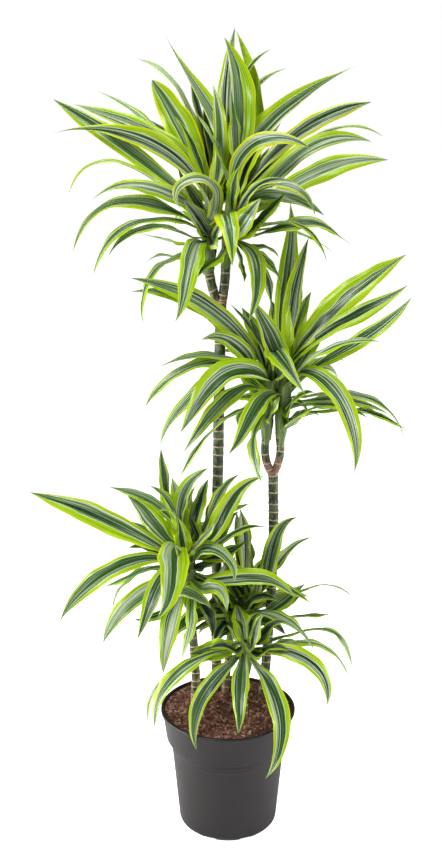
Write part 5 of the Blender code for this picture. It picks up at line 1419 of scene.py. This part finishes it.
def leaf_look(settings):
    """Living dracaena leaf, a waxy satin cuticle over striped tissue. The eye sees a green middle with fine
    pale streaks along the veins, partly a painted reflection of the white surround, a thin white line on
    each side of it, and lime margins with yellow edges; the underside is paler and duller. Painted shade
    darkens every blade near its root and the blades deep in a head all along."""
    look, tree, shader = new_material("striped waxy leaf")
    leaf = leaf_point(tree)
    edge, inside = band_depths(tree, leaf)
    middling, narrow = streaks(tree, leaf, 9.0), streaks(tree, leaf, 21.0)
    middle = middle_colour(tree, settings, leaf, middling, narrow)
    margin = margin_colour(tree, settings, leaf, edge, middling, narrow)
    banded = banded_colour(tree, settings, inside, margin, middle)
    tree.links.new(weathered_and_shaded_colour(tree, settings, leaf, banded), shader.inputs["Base Color"])

    # Veins about 1 mm apart stand up a little; this also breaks the gloss into long lines.
    bump = add(tree, "Bump", {"Height": narrow, "Strength": 0.45, "Distance": 0.0006}).outputs["Normal"]
    tree.links.new(bump, shader.inputs["Normal"])
    gloss = add(tree, "MapRange", {0: middling, 1: 0.3, 2: 0.7, 3: 0.24, 4: 0.38}).outputs[0]
    rough = add(tree, "Mix", {0: leaf.under, 2: gloss, 3: 0.6}).outputs[0]
    tree.links.new(rough, shader.inputs["Roughness"])
    shader.inputs["IOR"].default_value = 1.44
    shader.inputs["Subsurface Weight"].default_value = 0.10
    shader.inputs["Subsurface Radius"].default_value = (0.6, 1.0, 0.15)
    shader.inputs["Subsurface Scale"].default_value = 0.003
    return look


def bark_noise(tree, spot, across, up, detail):
    """Noise over the bark, made finer across the round pattern and up the cane."""
    at = add(tree, "VectorMath", {0: spot, 1: (across, across, up)}, operation="MULTIPLY").outputs[0]
    return add(tree, "TexNoise", {"Vector": at, "Scale": 1.0, "Detail": detail}).outputs["Fac"]


def bark_colour(tree, settings, kind, blotch, scuff, fleck):
    """Blotched green skin with pale scuffs, and over it brown cork, broken tan scars and the wax."""
    scarred, brown, waxed = add(tree, "SeparateXYZ", {0: kind}).outputs
    skin = add(tree, "ValToRGB", {0: blotch}, stops=(
        (0.40, linear(settings.dark)), (0.66, linear(settings.grey)),
        (0.52, linear(settings.green)))).outputs[0]
    scuffed = add(tree, "MapRange", {0: scuff, 1: 0.56, 2: 0.68, 3: 0.0, 4: 0.75}).outputs[0]
    cork = add(tree, "ValToRGB", {0: fleck}, stops=(
        (0.35, linear(settings.cork_dark)), (0.65, linear(settings.cork)))).outputs[0]
    aged = add(tree, "Math", {0: brown, 1: blotch}, operation="ADD").outputs[0]
    aged = add(tree, "MapRange", {0: aged, 1: 0.72, 2: 0.95, 3: 0.0, 4: 0.9}).outputs[0]
    broken = add(tree, "MapRange", {0: fleck, 1: 0.38, 2: 0.52, 3: 0.35, 4: 1.0}).outputs[0]
    ringed = add(tree, "Math", {0: scarred, 1: broken}, operation="MULTIPLY").outputs[0]
    layers = (
        (scuffed, linear(settings.scuff)), (aged, cork),
        (ringed, linear(settings.scar)), (waxed, linear(settings.wax)))
    for share, layer in layers:
        skin = add(tree, "Mix", {0: share, 6: skin, 7: layer}, data_type="RGBA").outputs[2]
    return skin


def bark_look(settings):
    """Young dracaena bark, smooth green skin with corky leaf scars. The eye sees dark green between tan
    rings, pale scuffs along it, and brown cork at the foot and the fork; wax on the cut end is lilac grey."""
    look, tree, shader = new_material("ringed green bark")
    place, kind = (
        add(tree, "Attribute", attribute_name=name).outputs["Vector"] for name in ("bark_place", "bark_kind"))
    seed = add(tree, "Attribute", attribute_name="bark_seed").outputs["Fac"]
    many = add(tree, "Math", {0: seed, 1: 37.0}, operation="MULTIPLY").outputs[0]
    seeded = add(tree, "CombineXYZ", {0: many, 1: many, 2: 0.0}).outputs[0]
    spot = add(tree, "VectorMath", {0: place, 1: seeded}, operation="ADD").outputs[0]

    # A cane is about 20 mm thick, so one unit across the round pattern is about 10 mm; heights are in metres.
    blotch = bark_noise(tree, spot, 1.0, 55.0, 3.0)
    scuff = bark_noise(tree, spot, 3.6, 95.0, 3.0)
    fleck = bark_noise(tree, spot, 6.0, 330.0, 2.0)
    skin = bark_colour(tree, settings, kind, blotch, scuff, fleck)
    tree.links.new(skin, shader.inputs["Base Color"])
    relief = add(tree, "Mix", {0: 0.5, 2: scuff, 3: fleck}).outputs[0]
    bump = add(tree, "Bump", {"Height": relief, "Strength": 0.6, "Distance": 0.0008}).outputs["Normal"]
    tree.links.new(bump, shader.inputs["Normal"])
    shader.inputs["Roughness"].default_value = 0.62
    return look


def pot_look(settings):
    """Charcoal polypropylene, injection moulded: a soft satin skin with a very fine grain, faint scuffs and
    a little peat dust."""
    look, tree, shader = new_material("moulded charcoal polypropylene")
    spot = add(tree, "TexCoord").outputs["Object"]
    haze = add(tree, "TexNoise", {"Vector": spot, "Scale": 14.0, "Detail": 3.0}).outputs["Fac"]
    colour = add(tree, "ValToRGB", {0: haze}, stops=(
        (0.35, linear(settings.plastic)), (0.70, linear(settings.plastic_pale)))).outputs[0]
    tree.links.new(colour, shader.inputs["Base Color"])
    # The moulded grain is about 0.3 mm; it is drawn at 1 mm so that it shows.
    grain = add(tree, "TexNoise", {"Vector": spot, "Scale": 1000.0, "Detail": 1.0}).outputs["Fac"]
    bump = add(tree, "Bump", {"Height": grain, "Strength": 0.08, "Distance": 0.0003}).outputs["Normal"]
    tree.links.new(bump, shader.inputs["Normal"])
    rough = add(tree, "MapRange", {0: haze, 1: 0.3, 2: 0.7, 3: 0.42, 4: 0.52}).outputs[0]
    tree.links.new(rough, shader.inputs["Roughness"])
    shader.inputs["IOR"].default_value = 1.49
    shader.inputs["Specular IOR Level"].default_value = 0.42
    return look


def peat_look(settings):
    """Damp peat with coir: dull red-brown crumbs, painted darker in the hollows of the bump as shade, and
    lighter dry fibres.
    """
    look, tree, shader = new_material("peat and coir")
    tone = add(tree, "Attribute", attribute_name="peat_tone").outputs["Fac"]
    fibre = add(tree, "Attribute", attribute_name="peat_fibre").outputs["Fac"]
    spot = add(tree, "TexCoord").outputs["Object"]
    clod = add(tree, "TexNoise", {"Vector": spot, "Scale": 260.0, "Detail": 4.0}).outputs["Fac"]
    patch = add(tree, "TexNoise", {"Vector": spot, "Scale": 45.0, "Detail": 2.0}).outputs["Fac"]
    # Partly painted shade: the clod noise that dents the bump also darkens the colour, so its hollows come
    # out as dark peat.
    mixed = add(tree, "Mix", {0: 0.55, 2: clod, 3: tone}).outputs[0]
    mixed = add(tree, "Mix", {0: 0.25, 2: mixed, 3: patch}).outputs[0]
    soil = add(tree, "ValToRGB", {0: mixed}, stops=(
        (0.25, linear(settings.dark_peat_and_shade)), (0.72, linear(settings.peat_pale)),
        (0.48, linear(settings.peat)))).outputs[0]
    coir = add(tree, "ValToRGB", {0: tone}, stops=(
        (0.1, linear(settings.coir_dark)), (0.97, linear(settings.coir_pale)),
        (0.6, linear(settings.coir)))).outputs[0]
    colour = add(tree, "Mix", {0: fibre, 6: soil, 7: coir}, data_type="RGBA").outputs[2]
    tree.links.new(colour, shader.inputs["Base Color"])
    bump = add(tree, "Bump", {"Height": clod, "Strength": 0.8, "Distance": 0.0012}).outputs["Normal"]
    tree.links.new(bump, shader.inputs["Normal"])
    shader.inputs["Roughness"].default_value = 0.9
    shader.inputs["Specular IOR Level"].default_value = 0.25
    return look


def hex_property(name, description, default):
    """A colour that a user may change, as an sRGB hex value."""
    return bpy.props.StringProperty(name=name, description=description, default=default, maxlen=7)


class LeafSettings(bpy.types.PropertyGroup):
    """The colours of a leaf's stripes and the width of its white line."""
    dark: hex_property("Dark", "Darkest green of the middle band", "#1a370f")
    green: hex_property("Green", "Green of the middle band", "#3c6026")
    # Sage, grey and streak are the leaf's own grey green stripes and partly a painted reflection of the white
    # surround.
    sage: hex_property("Sage", "Grey green of the middle band", "#5f7f47")
    grey: hex_property("Grey", "Palest grey green of the middle band", "#9aac82")
    streak: hex_property("Streak", "Palest streaks of the middle band", "#dbe2cd")
    white: hex_property("Line", "Thin line between middle band and margin", "#d3dfb8")
    lime_deep: hex_property("Deep lime", "Darker streaks of the margins", "#6e9600")
    lime: hex_property("Lime", "Margins", "#90b400")
    lime_pale: hex_property("Pale lime", "Paler streaks of the margins", "#a8c200")
    yellow: hex_property("Yellow", "Outermost edge", "#c8da0c")
    gold: hex_property("Gold", "Edge of an older leaf", "#e3cf10")
    # The clasping base colour is partly the base's own duller green and partly painted shade.
    base: hex_property("Base", "Clasping base", "#34501f")
    dry: hex_property("Dry tip", "Last few millimetres of a tip", "#857343")
    under: hex_property("Underside", "Pale underside", "#88a068")
    # Painted shade: this tint darkens blades deep in a head, and every blade near its root.
    heart_shade: hex_property("Heart", "Tint of the blades deep in a head", "#536340")
    line: bpy.props.FloatProperty(
        name="Line width", description="White line, in shares of the half width",
        default=0.030, min=0.0, max=0.3, subtype="FACTOR")


class BarkSettings(bpy.types.PropertyGroup):
    """The colours of the canes."""
    dark: hex_property("Dark", "Darkest bark", "#121c0a")
    green: hex_property("Green", "Green bark", "#2d421a")
    grey: hex_property("Grey", "Grey green bark", "#4e5c36")
    scuff: hex_property("Scuff", "Pale scuffs", "#767b4f")
    scar: hex_property("Scar", "Leaf scars", "#c7a488")
    cork: hex_property("Cork", "Brown cork", "#a27c62")
    cork_dark: hex_property("Dark cork", "Hollows of the cork", "#4c3527")
    wax: hex_property("Wax", "Seal on the cut end", "#a39aa8")


class PotSettings(bpy.types.PropertyGroup):
    """The colours of the pot and its fill."""
    plastic: hex_property("Plastic", "Pot", "#150e0f")
    plastic_pale: hex_property("Worn plastic", "Paler haze on the pot", "#1d1718")
    # Partly the peat's own dark crumbs and partly painted shade in the hollows.
    dark_peat_and_shade: hex_property("Dark peat", "Hollows", "#2c170e")
    peat: hex_property("Peat", "Peat", "#6a4637")
    peat_pale: hex_property("Pale peat", "Dry crumbs", "#a37a68")
    coir_dark: hex_property("Dark fibre", "Darkest fibres", "#4a2a1b")
    coir: hex_property("Fibre", "Fibres", "#8a6150")
    coir_pale: hex_property("Pale fibre", "Palest fibres", "#cdb3a0")


class StageSettings(bpy.types.PropertyGroup):
    """The floor, the light and the camera."""
    floor: hex_property("Floor", "Floor and surroundings", "#fdfdfd")
    floor_radius: bpy.props.FloatProperty(
        name="Floor radius", description="Radius of the floor", default=30.0, unit="LENGTH")
    surround: bpy.props.FloatProperty(
        name="Surround", description="Strength of the light from all round", default=0.22, min=0.0)
    floor_glow: bpy.props.FloatProperty(
        name="Floor glow", description="How much brighter the camera sees the floor", default=0.94, min=0.0)
    key: bpy.props.FloatProperty(
        name="Key", description="Power of the main softbox", default=98.0, unit="POWER")
    fill: bpy.props.FloatProperty(
        name="Fill", description="Power of the second softbox", default=24.0, unit="POWER")
    sides: bpy.props.FloatProperty(
        name="Sides", description="Power of the low softboxes", default=40.0, unit="POWER")
    top: bpy.props.FloatProperty(
        name="Top", description="Power of the overhead softbox", default=42.0, unit="POWER")


class PLANT_OT_pot(bpy.types.Operator):
    """Turn the moulded pot"""
    bl_idname = "plant.pot"
    bl_label = "Pot"

    def execute(self, context):
        skin = turned_skin(pot_profile(), POT_SIDES, slot_lift)
        new_piece("moulded_pot", skin, pot_look(context.scene.plant_pot), "pot", sharp_angle=32)
        return {"FINISHED"}


class PLANT_OT_soil(bpy.types.Operator):
    """Fill the pot with peat and strew it with crumbs and fibres"""
    bl_idname = "plant.soil"
    bl_label = "Soil"

    def execute(self, context):
        skin = joined((peat_skin(), crumb_skin(np.random.default_rng(CRUMB_SEED))))
        new_piece("peat_fill", skin, peat_look(context.scene.plant_pot), "soil", sharp_angle=60)
        return {"FINISHED"}


class PLANT_OT_canes(bpy.types.Operator):
    """Grow the ringed canes"""
    bl_idname = "plant.canes"
    bl_label = "Canes"

    def execute(self, context):
        look = bark_look(context.scene.plant_bark)
        for seed, name in enumerate(CANES, CANE_SEED):
            new_piece(name + "_bark", cane_skins(name, seed), look, name, sharp_angle=60)
        return {"FINISHED"}


class PLANT_OT_heads(bpy.types.Operator):
    """Grow the leafy heads"""
    bl_idname = "plant.heads"
    bl_label = "Leafy heads"

    def execute(self, context):
        look = leaf_look(context.scene.plant_leaf)
        index = 0
        for head, blades in settled_blades().items():
            skins = [shoot_skin(SHOOTS[name]) for name in HEAD_SHOOTS[head]]
            for blade in blades:
                skins.append(blade_skin(blade, index))
                index += 1
            new_piece(head + "_leaves", joined(skins), look, head)
        return {"FINISHED"}


def softbox(name, place, aim, size, power):
    """A square area light that looks at a point."""
    data = bpy.data.lights.new(name, "AREA")
    data.size = size
    data.energy = power
    lamp = bpy.data.objects.new(name, data)
    lamp.location = place
    way = np.array(aim) - np.array(place)
    lamp.rotation_euler = (math.atan2(math.hypot(way[0], way[1]), -way[2]), 0.0, math.atan2(-way[0], way[1]))
    bpy.context.scene.collection.objects.link(lamp)


def white_surround(settings):
    """A white room that the camera sees at full strength and that lights the plant less."""
    world = bpy.data.worlds.new("white surround")
    world.use_nodes = True
    tree = world.node_tree
    background = tree.nodes["Background"]
    seen = add(tree, "LightPath").outputs["Is Camera Ray"]
    strength = add(tree, "Mix", {0: seen, 2: settings.surround, 3: SEEN_SURROUND}).outputs[0]
    background.inputs[0].default_value = linear(settings.floor)
    tree.links.new(strength, background.inputs[1])
    return world


def pale_floor(settings):
    """A wide matt white floor; the camera sees it a little brighter, so that it runs into the surround."""
    look, tree, shader = new_material("pale floor")
    shader.inputs["Base Color"].default_value = linear(settings.floor)
    shader.inputs["Roughness"].default_value = 0.9
    shader.inputs["Emission Color"].default_value = (1.0, 1.0, 1.0, 1.0)
    seen = add(tree, "LightPath").outputs["Is Camera Ray"]
    glow = add(tree, "Math", {0: seen, 1: settings.floor_glow}, operation="MULTIPLY").outputs[0]
    tree.links.new(glow, shader.inputs["Emission Strength"])
    angles = np.arange(FLOOR_SIDES) * math.tau / FLOOR_SIDES
    radius = settings.floor_radius
    rim = [(radius * math.cos(angle), radius * math.sin(angle), 0.0) for angle in angles]
    mesh = bpy.data.meshes.new("floor")
    mesh.from_pydata(rim, [], [tuple(range(FLOOR_SIDES))])
    mesh.materials.append(look)
    floor = bpy.data.objects.new("floor", mesh)
    bpy.context.scene.collection.objects.link(floor)


def viewer():
    """The camera, where the viewer stands."""
    camera = bpy.data.cameras.new("camera")
    camera.sensor_width = SENSOR
    camera.lens = FOCAL_PIXELS / FRAME_HEIGHT * SENSOR
    stand = bpy.data.objects.new("camera", camera)
    stand.location = tuple(EYE)
    stand.rotation_euler = (math.pi / 2 - LOOK_DOWN, 0.0, LOOK_LEFT)
    bpy.context.scene.collection.objects.link(stand)
    return stand


class PLANT_OT_stage(bpy.types.Operator):
    """Lay the floor, set the lights and stand the camera where the viewer stands"""
    bl_idname = "plant.stage"
    bl_label = "Stage"

    def execute(self, context):
        scene = context.scene
        settings = scene.plant_stage
        scene.world = white_surround(settings)
        pale_floor(settings)
        for name, place, aim, size, power, share in SOFTBOXES:
            softbox(name, place, (0.0, 0.0, aim), size, getattr(settings, power) * share)
        scene.camera = viewer()
        scene.view_settings.view_transform = "Standard"
        return {"FINISHED"}


class PLANT_PT_panel(bpy.types.Panel):
    """The pieces of the plant, in the order they are made"""
    bl_idname = "PLANT_PT_panel"
    bl_label = "Dracaena"
    bl_space_type = "VIEW_3D"
    bl_region_type = "UI"
    bl_category = "Dracaena"

    def draw(self, context):
        for operator in OPERATORS:
            self.layout.operator(operator.bl_idname)
        for group in SETTINGS:
            settings = getattr(context.scene, group)
            for name in settings.bl_rna.properties.keys():
                if name not in ("rna_type", "name"):
                    self.layout.prop(settings, name)


SETTINGS = {
    "plant_leaf": LeafSettings,
    "plant_bark": BarkSettings,
    "plant_pot": PotSettings,
    "plant_stage": StageSettings,
}
OPERATORS = (PLANT_OT_pot, PLANT_OT_soil, PLANT_OT_canes, PLANT_OT_heads, PLANT_OT_stage)


def register():
    """Make the settings, the operators and the panel known."""
    for name, group in SETTINGS.items():
        bpy.utils.register_class(group)
        setattr(bpy.types.Scene, name, bpy.props.PointerProperty(type=group))
    for operator in OPERATORS + (PLANT_PT_panel,):
        bpy.utils.register_class(operator)


def unregister():
    """Forget them again, last first."""
    for operator in reversed(OPERATORS + (PLANT_PT_panel,)):
        bpy.utils.unregister_class(operator)
    for name, group in SETTINGS.items():
        delattr(bpy.types.Scene, name)
        bpy.utils.unregister_class(group)


def main():
    """Build every piece in order."""
    register()
    bpy.ops.plant.pot()
    bpy.ops.plant.soil()
    bpy.ops.plant.canes()
    bpy.ops.plant.heads()
    bpy.ops.plant.stage()


if __name__ == "__main__":
    main()
